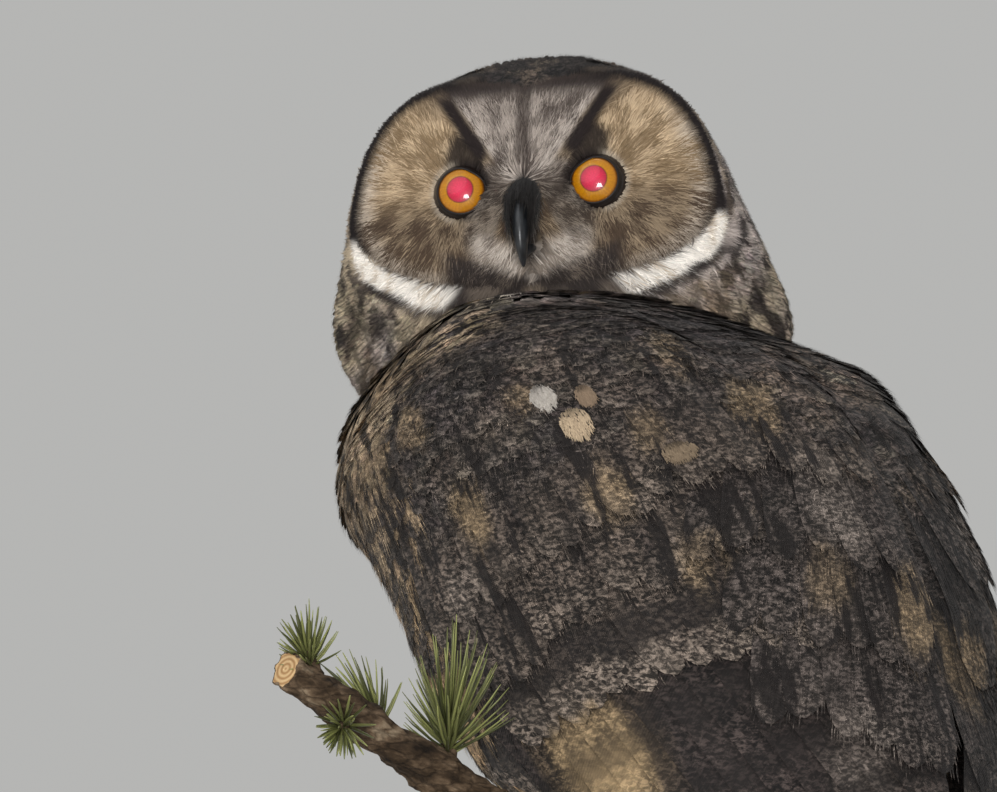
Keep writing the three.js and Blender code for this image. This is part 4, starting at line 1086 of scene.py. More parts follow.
# Wings: rows of vanes from the front feather to the innermost, in the solids' own places but more of them.
# root and tip are place along and degrees round, sink is how deep the roots lie in the pad
rowKeys = ("count", "root", "tip", "sink", "height", "half", "tilt", "bend", "look", "barbs")
primaryTips = [[-203, 40], [-217, 32], [-212, 29], [-200, 27], [-184, 27], [-166, 28]]
wingRows = [
    (9, [[8, 114], [-8, 106]], primaryTips, None, [1.1, 5.6], [6.5, 8.4], 0.5, 2, "primary", (60, 0.015)),
    (12, [[20, 104], [-10, 38]], [[-120, 88], [-92, 8]], [5.5, 6], [7.2, 4.2], [9.5, 10.5], 1.5, 1.5,
     "secondary", (90, 0.015)),
    (7, [[22, 126], [18, 108]], [[-38, 131], [-56, 106]], [3.5, 4], [3.6, 6.6], [5.4, 5.8], 0.7, 1,
     "greater", (120, 0.03)),
    (13, [[20, 100], [0, 40]], [[-44, 98], [-50, 30]], [3, 3], [9, 8], [6.4, 6.6], 0.9, 1,
     "greater", (160, 0.035)),
    (14, [[34, 101], [18, 40]], [[-30, 103], [-24, 34]], [2.4, 2.4], [11.0, 10.4], [5.6, 5.8], 0.8, 1,
     "covert", (180, 0.055)),
    (15, [[40, 102], [34, 40]], [[-12, 105], [-6, 36]], [2.0, 2.0], [12.4, 12.4], [5.0, 5.2], 0.7, 1,
     "covert", (180, 0.065)),
]
scapularRows = [
    (6, [[-6, 22], [-24, 6]], [[-62, 50], [-84, 10]], [4, 4], [9.4, 7.2], [7.8, 8.2], 0.9, 1,
     "scapular", (240, 0.05)),
    (6, [[8, 22], [-6, 7]], [[-42, 50], [-62, 11]], [3, 3], [10.6, 8.8], [7.4, 7.8], 0.9, 1,
     "scapular", (240, 0.05)),
    (6, [[24, 24], [12, 8]], [[-22, 52], [-38, 12]], [2.6, 2.6], [12.2, 10.6], [6.8, 7.2], 0.9, 1,
     "scapular", (240, 0.05)),
    (6, [[38, 26], [28, 8]], [[-2, 50], [-14, 12]], [2.0, 2.0], [12.8, 11.6], [6.2, 6.6], 0.9, 1,
     "covert", (240, 0.06)),
]
# Colour at root and tip, marks (streak, cross lines, pale tip) and bars (beat, strength) of each kind of vane
vaneKinds = {
    "primary": ("primaryBuff", "primary", (0.1, 0.45, 0.0), (0.26, 0.9)),
    "secondary": ("secondary", "secondary", (0.1, 0.75, 0.12), (0.3, 0.55)),
    "greater": ("greater", "covertPale", (0.3, 0.9, 0.55), (0.12, 0.75)),
    "scapular": ("covert", "mantle", (0.85, 0.95, 0.1), (0.1, 0.2)),
    "tail": ("tailBuff", "tail", (0.05, 0.55, 0.2), (0.33, 0.85)),
    "covert": ("covert", "covertPale", (0.75, 0.95, 0.3), (0.1, 0.2)),
}
quillColumns = (-1, -0.5, 0, 0.5, 1)
# places side by side on a wing's baked map
bakeSlots = 130


def vaneLook(kind, count, template, fadeEnd):
    # ground colour, marks and bars of one row of large feathers
    root, tip, marks, (beat, strength) = vaneKinds[kind]
    tone = rng.normal(1, 0.09, (count, 1))
    marks = np.clip(np.array(marks) * rng.normal(1, 0.15, (count, 3)), 0, 1)
    shift = rng.normal(0.45, 0.02, count) if kind == "greater" else rng.uniform(0, 0.25, count)
    ground = mixed(root, tip, ramp(template[0], 0.25, fadeEnd))[None] * tone[:, None, :]
    return {"ground": np.clip(ground, 0, 1), "marks": marks,
            "bars": np.stack([np.full(count, beat), shift, np.full(count, strength)], axis=-1)}


def layRow(side, row, outline, thickness, rank):
    count = row["count"]
    share = np.linspace(0, 1, count)

    def between(ends):
        # values from the row's first feather to its last
        ends = np.array(ends, float)
        known = np.linspace(0, 1, len(ends))
        if ends.ndim == 1:
            return np.interp(share, known, ends)
        return np.stack([np.interp(share, known, column) for column in ends.T], axis=-1)

    root, tip, half, height = (between(row[key]) for key in ("root", "tip", "half", "height"))
    if row["look"] not in ("primary", "secondary"):
        tip = tip + np.stack([rng.normal(0, 1.6, count), rng.normal(0, 0.8, count)], axis=-1)
    top = height
    if row["sink"] is not None:
        top = padHeight(outline, thickness, root[:, 0], root[:, 1]) - between(row["sink"])

    def pointAt(t, s, lift=0.0):
        along = root[:, :1] + (tip - root)[:, :1] * t
        degrees = root[:, 1:] + (tip - root)[:, 1:] * np.maximum(t, 0) ** row["bend"]
        level = top[:, None] + (height - top)[:, None] * np.clip(t, 0, 1)
        across = s * half[:, None]
        # a vane leans over its neighbour, is crowned, and its end bends down to the body
        raised = row["tilt"] * s + 0.35 * (1 - s * s) - 3 * np.maximum(t - 0.9, 0) + lift
        flat = [values.ravel() for values in (along, side * degrees, level, side * across, raised)]
        return overWing(*flat).reshape(*t.shape, 3)

    template = vaneTemplate("quill", quillColumns, *row["barbs"])
    look = {"length": np.abs(tip[:, 0] - root[:, 0]) + 4, "width": half,
            **vaneLook(row["look"], count, template, 0.75)}
    bake = ((np.arange(count) + rank + 0.5) / bakeSlots, np.full(count, 0.5))
    return vaneMesh("row", pointAt, look, template, bake, (0.006, 0.9), bodyPaint, 0.2)


def layRows(name, side, rows, outline, thickness, *nodes):
    # several rows as one piece: attributes and maps carry over
    bm, ups, rank = bmesh.new(), [], 0
    for values in rows:
        row = dict(zip(rowKeys, values))
        piece, up = layRow(side, row, outline, thickness, rank)
        rank += row["count"]
        ups.append(up)
        bm.from_mesh(piece.data)
        bpy.data.objects.remove(piece)
    joined = makeMeshObject(name, bm)
    softenNormals(joined, np.concatenate(ups), 0.6)
    print(name, len(joined.data.polygons), "triangles")
    return finishPiece(joined, "plumage", quillVane, *nodes)


def padSize(u, v):
    # lesser coverts grow from the wing's bend to its middle
    grown = ramp(u, 62, 25)
    return 7.5 + 5.5 * grown, 2.6 + 1.5 * grown


def covertLook(u, v, points):
    blotch = speckle(points, 7, 3.0)
    ground = mixed("covert", "covertPale", ramp(blotch, 0.45, 0.9) * 0.8)
    ground = mixed(ground, "mantleDark", ramp(blotch, 0.45, 0.1) * 0.6)
    # the fore edge beside the breast is buff with long streaks
    fore = ramp(folded(v) + 8 * (blotch - 0.5), 95, 103) * ramp(u, 22, 36)
    fore = np.maximum(fore, 0.75 * ramp(folded(v) + 8 * (blotch - 0.5), 58, 76) * ramp(u, 46, 55))
    ground = mixed(ground, mixed("breast", "breastPale", ramp(blotch, 0.45, 0.8)), fore)
    return ground, np.stack([0.62 + 0.38 * fore, 0.95 - 0.55 * fore, 0.2 - 0.1 * fore], axis=-1)


def wingHeading(u, v):
    return math.pi - 0.1 * np.sign(v)


for word, side in bothSides:
    layRows(f"wing_feathers_{word}", side, wingRows, armOutline, armThickness, f"wing_{word}")
    ends = (22, 126) if side > 0 else (-126, -22)
    u, v = tiers(coatPoint, (64, -2), ends, padSize, 0.27, 0.56)
    near = np.abs(v)
    inside = (near > tableValue(armOutline, u, 1) - 5) & (near < tableValue(armOutline, u, 2) + 5)
    contourCoat(f"lesser_coverts_{word}", u, v, padSize, wingHeading, covertLook, inside, low=-2.0, high=0.7)
    layRows(f"scapular_feathers_{word}", side, scapularRows, scapularOutline, scapularThickness,
            f"scapulars_{word}")
print("wings ready")

# Tail: the middle pair on top, each pair further out a step lower
tailSet = {"tip": -203, "pairs": 6, "half": 10.5, "spread": 2.7, "step": 0.9, "root": -112, "top": 5.8}


def makeTail():
    index = np.repeat(np.arange(tailSet["pairs"]), 2)
    side = np.tile([1, -1], tailSet["pairs"])
    layer = np.where(index < 3, 2 * index + (side < 0), index + 3)
    over = tailSet["top"] - tailSet["step"] * layer
    tip = tailSet["tip"] + 0.5 * index ** 1.7
    count = len(index)

    def pointAt(t, s, lift=0.0):
        out = side[:, None] * (1 + tailSet["spread"] * index[:, None] * (0.45 + 0.55 * t))
        # the quills run on up into the rump
        along = (tailSet["root"] + 14) + (tip[:, None] - tailSet["root"] - 14) * t
        raised = over[:, None] + 0.5 * (1 - s * s) + lift - 0.15 * s * side[:, None]
        return onAxis(along.ravel(), (out + s * tailSet["half"]).ravel(), raised.ravel()).reshape(*t.shape, 3)

    template = vaneTemplate("quill", quillColumns, 60, 0.03)
    look = {"length": np.full(count, 100.0), "width": np.full(count, tailSet["half"]),
            **vaneLook("tail", count, template, 0.85)}
    look["bars"][:, 1] = 0.1
    bake = ((np.arange(count) + 0.5) / count, np.full(count, 0.5))
    return vaneMesh("tail_feathers", pointAt, look, template, bake, (0.06, 0.9), toss=0.15)[0]


finishPiece(makeTail(), "plumage", quillVane, "tail")


def rumpSize(u, v):
    return 15 - 3 * ramp(u, -100, -125), 3.6 + 0 * u


def rumpPoint(u, v, height):
    # upper and under tail coverts lie on a flattened sleeve that narrows on to the tail
    share = np.clip((-96 - u) / 36, 0, 1)
    half, depth = 25 - 13 * share, 19 - 13.5 * share
    angle = np.radians(v)
    return onAxis(u, (half + height) * np.sin(angle), 3 + (depth + height) * np.cos(angle))


def rumpLook(u, v, points):
    blotch = speckle(points, 6, 6.0)
    above = mixed("rump", "mantlePale", ramp(blotch, 0.4, 0.8))
    ground = mixed(above, "under", ramp(folded(v), 80, 110))
    lines = 0.7 * ramp(folded(v), 110, 80)
    return ground, np.stack([0.3 + 0 * lines, lines, 0.1 + 0 * lines], axis=-1)


u, v = tiers(rumpPoint, (-92, -124), (-180, 180), rumpSize, 0.25, 0.56)
contourCoat("coat_rump", u, v, rumpSize, lambda u, v: np.full(len(u), math.pi), rumpLook,
            uEnds=(-90, -130), low=-2.5, high=0.6, surface=rumpPoint, exact=False)
print("tail ready")


# Head coat behind the disc: small feathers that lie back from the rim, flat to the skull
def headSize(q, angle):
    grown = ramp(q, 1.3, 1.9) * ramp(folded(angle), 40, 100)
    return 4.2 + 4.6 * grown, 1.1 + 0.9 * grown


def headHeading(q, angle):
    return 0 * q + 0.18 * np.sin(np.radians(angle)) * ramp(q, 1.5, 2.1)


u, v = tiers(headPoint, (1.02, 2.3), (-180, 180), headSize, 0.3, 0.6, (0.01, 0.5))
for word, side in bothSides:
    contourCoat(f"coat_head_{word}", u, v, headSize, headHeading, headLook,
                (folded(v) < 172) & (v * side > 0), "face_feathers", vaneSmall, (0.9, 2.4),
                low=-1.6, high=0.5, surface=headPoint, metric=(0.01, 0.5), toss=0.12)

# Rim of the disc: short loose strands, the black line above and the white band below it
rimSet = {"count": 17000, "half": 0.18, "black": 3.4, "white": 4.6}


def growRim():
    angle = rng.uniform(-180, 180, rimSet["count"])
    near = folded(angle)
    white = ramp(near, 94, 100) * ramp(near, 142, 136)
    angle, near, white = angle[near > 20], near[near > 20], white[near > 20]
    count = len(angle)
    reach = 2.4 + 2.6 * white
    out = rng.uniform(-1.8, 1, count)
    out = np.where(out > 0, out * reach, out)
    radius = tableValue(discRadii, near)
    span = np.hypot(headRadius(angle) - radius, tableValue(discRimForward, near) - 4)
    q = 1 + np.where(out < 0, out / radius, out / span * 0.4)
    length = (rimSet["black"] + (rimSet["white"] - rimSet["black"]) * white) * rng.normal(1, 0.15, count)
    look = {
        "length": length, "width": rimSet["half"] * rng.normal(1, 0.2, count),
        "heading": rng.normal(0, 0.3, count), "bend": rng.normal(0, 0.3, count),
        "low": np.full(count, -0.5), "high": 0.75 + 0.7 * white + rng.normal(0, 0.3, count),
    }
    pointAt, placeAt = onSurface(headPoint, q, angle, look, (0.01, 0.5))
    ground = exactGround(placeAt, pointAt, strand, rimLook, count) * rng.normal(1, 0.13, (count, 1, 1))
    # each strand darker towards its root: painted shade where the strands crowd together
    look["ground"] = ground * (0.6 + 0.4 * ramp(strand[0], 0, 0.4))[None, :, None]
    piece, _ = vaneMesh("disc_rim", pointAt, look, strand, bakeAt(q, (0.9, 2.4), angle, (-180, 180)))
    finishPiece(piece, "face_feathers", faceStrand)
    print("disc_rim", count, "strands")


def rimLook(q, angle, points):
    # the face's own colours inside the rim, the head's outside it
    ground = headLook(q, angle, points)[0]
    radius = tableValue(discRadii, folded(angle)) * np.minimum(q, 1)
    left, up = radius * np.sin(np.radians(angle)), radius * np.cos(np.radians(angle))
    return mixed(ground, faceColour(left, up, np.full(len(left), 0.5)), ramp(q, 0.985, 0.965)), None


growRim()
print("head coat ready")

# Bill: sections along its spine in the head's middle plane: forward, up, half width, half depth
billSpine = [
    (20, 3.5, 3.6, 3.4), (24, 1.5, 3.7, 3.6), (29, -1.5, 3.7, 3.7), (31.4, -4.4, 3.4, 3.4),
    (32.8, -7.6, 3.0, 3.0), (33.3, -11, 2.5, 2.5), (33.0, -14.4, 1.85, 2.0), (31.6, -17.3, 1.15, 1.2),
    (30.2, -19.2, 0.45, 0.5),
]
lowerSpine = [
    (20, -11.0, 2.2, 1.4), (24, -13.0, 1.8, 1.2), (27, -14.5, 1.2, 0.9), (28.6, -15.8, 0.7, 0.6),
    (29.0, -16.6, 0.3, 0.3),
]

# Facial disc: fine open strands that spread from each eye, from the bill up the brow and down the cheeks
faceSet = {"strands": 42000, "bristles": 1500, "half": 0.17, "opening": 5.9}


def growFace():
    count = faceSet["strands"]
    angle = rng.uniform(-180, 180, count * 3)
    share = np.sqrt(rng.uniform(0, 0.98, count * 3))
    radius = tableValue(discRadii, folded(angle)) * share
    keep = rng.uniform(0, 1, count * 3) < (tableValue(discRadii, folded(angle)) / 44) ** 2
    left, up = (radius * np.sin(np.radians(angle)))[keep], (radius * np.cos(np.radians(angle)))[keep]
    side = np.where(left >= 0, 1.0, -1.0)
    fromEye = np.stack([left - side * eyeSide, up - eyeUp], axis=-1)
    eyeOut = np.linalg.norm(fromEye, axis=1)
    outside = eyeOut > faceSet["opening"]
    bill = (np.abs(left) < 3.4) & (up < -5.5) & (up > -21)
    ok = outside & ~bill
    left, up, side, fromEye, eyeOut = (values[ok][:count] for values in (left, up, side, fromEye, eyeOut))
    count = len(left)
    x = np.abs(left)
    toEye = unit(fromEye)
    fromBill = unit(np.stack([left, up + 1.5], axis=-1))
    # brows rise from the bill; strands beside the bill sweep down and outwards
    brow = ramp(x - (3.5 + 0.66 * np.maximum(up, 0)), 3.0, -1.0) * ramp(up, 0, 3)
    down = unit(np.stack([side * 0.75, np.full(count, -0.66)], axis=-1))
    lore = ramp(x, 17, 12) * ramp(up, 5, 2)
    heading = toEye * (1 - brow)[:, None] + fromBill * (brow * 1.6)[:, None]
    heading = unit(heading * (1 - lore)[:, None] + (down * 0.75 + fromBill * 0.25) * (lore * 1.3)[:, None])
    turn = rng.normal(0, 0.1, count)
    heading = np.stack([heading[:, 0] * np.cos(turn) - heading[:, 1] * np.sin(turn),
                        heading[:, 0] * np.sin(turn) + heading[:, 1] * np.cos(turn)], axis=-1)
    length = (3.2 + 5.4 * ramp(eyeOut, 6, 20)) * (1 - 0.25 * lore) * rng.normal(1, 0.12, count)
    rise = 0.55 + 0.75 * brow + 0.7 * lore * ramp(x, 10, 5) + rng.normal(0, 0.22, count)
    # a strand that would pass the rim starts further in
    tipShare, tipAngle = facePlace(left + heading[:, 0] * length, up + heading[:, 1] * length)
    over = np.maximum(tipShare - 0.99 - rng.normal(0, 0.012, count), 0)
    over = over * tableValue(discRadii, folded(tipAngle))
    left, up = left - heading[:, 0] * over, up - heading[:, 1] * over
    spotAt = np.stack([left * 0.9, up * 0.9, side * 3], axis=-1)
    spot = 0.55 * speckle(spotAt, 1.6, 4.4) + 0.45 * rng.uniform(0, 1, count)
    shade = rng.normal(1, 0.12, (count, 1))
    half = faceSet["half"] * rng.normal(1, 0.18, count)
    bend = rng.normal(0, 0.16, count)
    across = np.stack([-heading[:, 1], heading[:, 0]], axis=-1)
    # each strand darker towards its root: painted shade where the strands crowd over the skin
    rootShade = (0.55 + 0.45 * ramp(strand[0], 0.0, 0.45))[:, None]
    for word, here in (("left", left >= 0), ("right", left < 0)):
        def placeAt(t, s):
            ahead = length[here][:, None] * t
            aside = half[here][:, None] * s + bend[here][:, None] * ahead * t
            return (left[here][:, None] + heading[here, :1] * ahead + across[here, :1] * aside,
                    up[here][:, None] + heading[here, 1:] * ahead + across[here, 1:] * aside)

        def pointAt(t, s, lift=0.0):
            leftAt, upAt = placeAt(t, s)
            height = -0.7 + (rise[here][:, None] + 0.7) * np.sqrt(np.maximum(t, 0)) + lift
            return facePoint(leftAt.ravel(), upAt.ravel(), height.ravel()).reshape(*t.shape, 3)

        number = int(here.sum())
        leftAt, upAt = placeAt(*(np.repeat(values[None], number, axis=0) for values in strand[:2]))
        ground = faceColour(leftAt.ravel(), upAt.ravel(), np.repeat(spot[here], len(strand[0])))
        ground = ground.reshape(number, -1, 3) * shade[here][:, None] * rootShade
        look = {"length": length[here], "width": half[here], "ground": ground}
        bake = (np.clip(0.5 + left[here] / 96, 0.004, 0.996), np.clip(0.5 + up[here] / 96, 0.004, 0.996))
        piece, _ = vaneMesh(f"disc_{word}", pointAt, look, strand, bake)
        finishPiece(piece, "face_feathers", faceStrand)
        print(f"disc_{word}", len(piece.data.polygons), "triangles")


growFace()


# Bristles: dark ones lie over the bill's root and down both its sides, pale ones stand beside them
def growBristles():
    count = faceSet["bristles"]
    side = np.where(rng.uniform(0, 1, count) < 0.5, -1.0, 1.0)
    round_ = side * np.radians(rng.uniform(0, 125, count))
    onSide = ramp(np.degrees(np.abs(round_)), 20, 75)
    start = rng.uniform(-0.2, 2.7 + 1.3 * onSide, count)
    # those on the ridge are short, so its lower part stays bare
    end = np.minimum(start + rng.uniform(1.2, 2.8, count), 3.5 + 2.7 * onSide + rng.normal(0, 0.5, count))
    end = np.maximum(end, start + 0.4)
    spread = rng.uniform(0.0, 1.5, count)
    spread = spread + 1.6 * ramp(np.degrees(np.abs(round_)), 60, 110) * rng.uniform(0, 1, count)
    spine = np.array(billSpine)
    steps = np.arange(len(spine))
    bristleHalf = 0.13
    length = (end - start) * 3.4
    sway = rng.normal(0, 0.25, count)

    def pointAt(t, s, lift=0.0):
        at = start[:, None] + (end - start)[:, None] * t
        forward, up, half, depth = (np.interp(at, steps, spine[:, i]) for i in range(4))
        before, after = (np.stack([np.interp(at + near, steps, spine[:, i]) for i in (0, 1)])
                         for near in (-0.3, 0.3))
        way = after - before
        way = way / np.maximum(np.hypot(way[0], way[1]), 1e-6)
        grow = 0.1 + spread[:, None] * np.maximum(t, 0) ** 1.5 + lift
        turn = round_[:, None] + sway[:, None] * t
        left = (half + grow) * np.sin(turn) + bristleHalf * s * np.cos(turn)
        out = (depth + grow) * np.cos(turn) - bristleHalf * s * np.sin(turn)
        ahead, above = forward - way[1] * out, up + way[0] * out
        return inHead(left.ravel(), ahead.ravel(), above.ravel()).reshape(*at.shape, 3)

    pale = ramp(np.degrees(np.abs(round_)), 70, 115) * rng.uniform(0, 1, count)
    tone = mixed("#120f0e", "#8f867d", pale) * rng.uniform(0.6, 1.6, (count, 1))
    look = {"length": length, "width": np.full(count, bristleHalf), "ground": tone}
    bake = (np.clip(0.5 + round_ / 8, 0, 1), np.clip(0.2 + start / 5, 0, 1))
    piece, _ = vaneMesh("bristles", pointAt, look, strand, bake)
    finishPiece(piece, "face_feathers", faceStrand)


growBristles()

# Ear tufts, laid flat: black centres with buff edges
tuftSet = {"count": 16, "side": 17, "back": -9, "length": 34, "half": 2.6}


def growTuft(word, side):
    count = tuftSet["count"]
    fan = np.linspace(-1.5, 1.5, count) + rng.normal(0, 0.1, count)
    layer = rng.permutation(count) / count
    length = tuftSet["length"] * (1 - 0.09 * np.abs(fan)) * rng.uniform(0.72, 1, count)
    half = tuftSet["half"] * rng.uniform(0.85, 1.1, count)

    def pointAt(t, s, lift=0.0):
        swing = t * (5 + 4.4 * fan[:, None])
        left = side * (tuftSet["side"] + 1.7 * fan[:, None] + swing) + half[:, None] * s
        back = tuftSet["back"] + length[:, None] * t
        height = -0.7 + 0.9 * np.sqrt(np.maximum(t, 0)) + 0.5 * layer[:, None] + 0.3 * (1 - s * s) + lift
        return onCrown(left.ravel(), back.ravel(), height.ravel()).reshape(*t.shape, 3)

    template = vaneTemplate("tuft", quillColumns, 60, 0.08)
    ground = mixed("#2a2422", "#6b5d4a", ramp(np.abs(template[1]), 0.45, 0.9))[None]
    ground = ground * rng.normal(1, 0.1, (count, 1, 1))
    look = {"length": length, "width": half, "ground": np.clip(ground, 0, 1),
            "marks": np.tile([0.3, 0.9, 0.1], (count, 1))}
    bake = (np.linspace(0.05, 0.95, count), np.full(count, 0.5))
    piece, ups = vaneMesh(f"ear_tuft_feathers_{word}", pointAt, look, template, bake, (0.05, 0.8))
    softenNormals(piece, ups, 0.6)
    finishPiece(piece, "plumage", contourVane, f"ear_tuft_{word}")


for word, side in bothSides:
    growTuft(word, side)
print("face ready")


# Eyes
def moveVerts(bm, place):
    # every vertex through a function of its millimetres
    verts = list(bm.verts)
    points = place(np.array([v.co for v in verts], float))
    for vert, point in zip(verts, points):
        vert.co = Vector(point) * mm


def eyeMaterial():
    # wet living eye: clear cornea over a pigmented iris, the pupil lit from behind by the flash
    material, tree = newMaterial("wet eye", {
        "Roughness": 0.35, "IOR": 1.376, "Specular IOR Level": 0.3, "Coat Weight": 1.0,
        "Coat Roughness": 0.01, "Coat IOR": 1.376,
    })
    disc = addNode(tree, "UVMap", {"uv_map": "Disc"})
    centred = addNode(tree, "VectorMath", {"operation": "SUBTRACT", 1: (0.5, 0.5, 0)}, {0: disc})
    radius = addNode(tree, "VectorMath", {"operation": "LENGTH"}, {0: centred})
    # iris fibres: noise by direction, about 0.6 mm apart at the rim
    away = addNode(tree, "VectorMath", {"operation": "NORMALIZE"}, {0: centred})
    fibres = addNode(tree, "TexNoise", {"Scale": 9.0, "Detail": 3.0}, {"Vector": away})
    grain = addNode(tree, "TexNoise", {"Scale": 42.0, "Detail": 2.0}, {"Vector": disc})
    # radius 0.5 in this map is the eye's full 8.4 mm
    # the crimson pupil is painted light: the flash's glow shining back out of the eye
    profile = addNode(tree, "ValToRGB", {"stops": [
        (0.0, "#cf2a50"), (0.1, "#c42445"), (0.18, "#a91e38"), (0.192, "#6e2a18"), (0.212, "#b0760c"),
        (0.3, "#a86c0a"), (0.328, "#6b3d08"), (0.348, "#1a1210"), (1.0, "#0d0a09"),
    ]}, {0: radius.outputs["Value"]})
    shade = addNode(tree, "Math", {"operation": "MULTIPLY_ADD", 1: 0.5, 2: 0.75}, {0: fibres})
    fine = addNode(tree, "Math", {"operation": "MULTIPLY_ADD", 1: 0.4, 2: 0.8}, {0: grain})
    both = addNode(tree, "Math", {"operation": "MULTIPLY"}, {0: shade, 1: fine})
    feed(tree, colour=addNode(tree, "VectorMath", {"operation": "SCALE"}, {0: profile, "Scale": both}))
    return material


def lidMaterial():
    # bare dark skin, slightly moist, grain of 0.4 mm
    material, tree = newMaterial("lid skin", {
        "Base Color": rgba("#1b1615"), "Roughness": 0.45, "IOR": 1.4, "Specular IOR Level": 0.4,
    })
    place = addNode(tree, "TexCoord").outputs["Object"]
    grain = addNode(tree, "TexNoise", {"Scale": 2600.0, "Detail": 2.0}, {"Vector": place})
    feed(tree, bump=addNode(tree, "Bump", {"Strength": 0.4, "Distance": 0.0001}, {"Height": grain}))
    return material


eyeFinish, lidFinish = eyeMaterial(), lidMaterial()


def makeEye(word, side):
    bm = bmesh.new()
    bmesh.ops.create_uvsphere(bm, u_segments=64, v_segments=40, radius=eyeRadius)
    # the sphere's pole looks forward; its back half lies on the map's edge
    disc = bm.loops.layers.uv.new("Disc")
    for face in bm.faces:
        for loop in face.loops:
            co = loop.vert.co
            grow = 1 if co.z > 0 else eyeRadius / max(math.hypot(co.x, co.y), 1e-6)
            loop[disc].uv = (0.5 + co.x * grow / eyeRadius / 2, 0.5 + co.y * grow / eyeRadius / 2)
    moveVerts(bm, lambda p: inHead(side * eyeSide - p[:, 0], eyeForward + p[:, 2], eyeUp + p[:, 1]))
    bmesh.ops.recalc_face_normals(bm, faces=bm.faces)
    finishPiece(makeMeshObject(f"eye_{word}_wet", bm), "eye", eyeFinish, f"eye_{word}")


lidSet = {
    "segments": 48, "opening": 5.6,
    # wider than the opening and out from the eye, for each ring
    "rolls": ((0.25, -0.5), (0.0, 0.12), (0.18, 0.45), (0.5, 0.6), (0.9, 0.3), (1.6, -0.7), (2.8, -2.4)),
}


def lidOpening(turns):
    # radius of the opening by angle from the top, growing towards the eye's outer side;
    # the upper inner edge is pressed down and the inner corner drawn out
    away = np.degrees(turns) % 360
    inner = np.exp(-(((away - 283 + 180) % 360 - 180) / 34) ** 2)
    upperInner = np.exp(-(((away - 325 + 180) % 360 - 180) / 32) ** 2)
    lower = np.exp(-(((away - 150 + 180) % 360 - 180) / 50) ** 2)
    return lidSet["opening"] + 0.35 * inner - 0.75 * upperInner - 0.1 * lower


def makeLids(word, side):
    # rings rolled from the eye's surface out into the face
    bm = bmesh.new()
    count = lidSet["segments"]
    turns = np.linspace(0, 2 * math.pi, count, endpoint=False)
    opening = lidOpening(turns)
    rings = []
    for grow, out in lidSet["rolls"]:
        radius = opening + grow
        surface = np.sqrt(np.maximum(eyeRadius ** 2 - np.minimum(radius, 7.6) ** 2, 1.0))
        left = side * (eyeSide + radius * np.sin(turns))
        points = inHead(left, eyeForward + surface + out, eyeUp + radius * np.cos(turns))
        rings.append([bm.verts.new(p * mm) for p in points])
    ringFaces(bm, rings)
    bmesh.ops.recalc_face_normals(bm, faces=bm.faces)
    lids = makeMeshObject(f"lids_{word}", bm, 1)
    outward = Vector(headForward)
    if sum(face.normal.dot(outward) for face in lids.data.polygons) < 0:
        lids.data.flip_normals()
    finishPiece(lids, "face_feathers", lidFinish)


for word, side in bothSides:
    makeEye(word, side)
    makeLids(word, side)
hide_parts("head")
print("eyes ready")


# Bill and claws
def hornMaterial():
    # keratin of bill and claws: dark, dense, low polish, with a fine grain of about 0.5 mm
    material, tree = newMaterial("keratin", {"Roughness": 0.34, "IOR": 1.55, "Specular IOR Level": 0.5})
    place = addNode(tree, "TexCoord").outputs["Object"]
    cloud = addNode(tree, "TexNoise", {"Scale": 420.0, "Detail": 3.0}, {"Vector": place})
    fine = addNode(tree, "TexNoise", {"Scale": 2000.0, "Detail": 2.0}, {"Vector": place})
    feed(tree, colour=addNode(tree, "ValToRGB", {"stops": [(0.3, "#0f1012"), (0.7, "#26292d")]}, {0: cloud}),
         bump=addNode(tree, "Bump", {"Strength": 0.25, "Distance": 0.0001}, {"Height": fine}))
    return material


horn = hornMaterial()


def makeBill(name, spine, node, ridge):
    rings = []
    turns = np.linspace(0, 2 * math.pi, 20, endpoint=False)
    for i, (forward, up, half, depth) in enumerate(spine):
        before, after = spine[max(i - 1, 0)], spine[min(i + 1, len(spine) - 1)]
        way = np.array([after[0] - before[0], after[1] - before[1]], float)
        way /= np.linalg.norm(way)
        # the culmen is a narrow ridge, so the section is a little pear shaped
        out = depth * np.cos(turns)
        wide = half * np.sin(turns) * (1 - ridge * (0.5 + 0.5 * np.cos(turns)))
        rings.append(inHead(wide, forward - way[1] * out, up + way[0] * out))
    bm = bmesh.new()
    loftRings(bm, rings)
    finishPiece(makeMeshObject(name, bm, 1), "horn", horn, node)


makeBill("bill_upper_horn", billSpine, "bill_upper", 0.35)
makeBill("bill_lower_horn", lowerSpine, "bill_lower", 0.0)
print("bill ready")

# Branch: its middle line and what grips it
perchRadius = 8.5
perchRadii = [[-84, 9.8], [-34, 8.5], [34, 8.5], [95, 5.4], [156, 4.3]]
perchRise = math.radians(21)
perchEnds = (-84, 156)
perchAlong = np.array([math.cos(perchRise), 0, math.sin(perchRise)])
perchUp = np.array([-math.sin(perchRise), 0, math.cos(perchRise)])
perchOrigin = np.array([0, -8, perchHeight - perchRadius])


def onPerch(along, degrees, out):
    angle = np.radians(degrees)
    return (perchOrigin + np.multiply.outer(along, perchAlong)
            + np.multiply.outer(out * np.cos(angle), perchUp)
            + np.multiply.outer(-out * np.sin(angle), [0, 1, 0]))


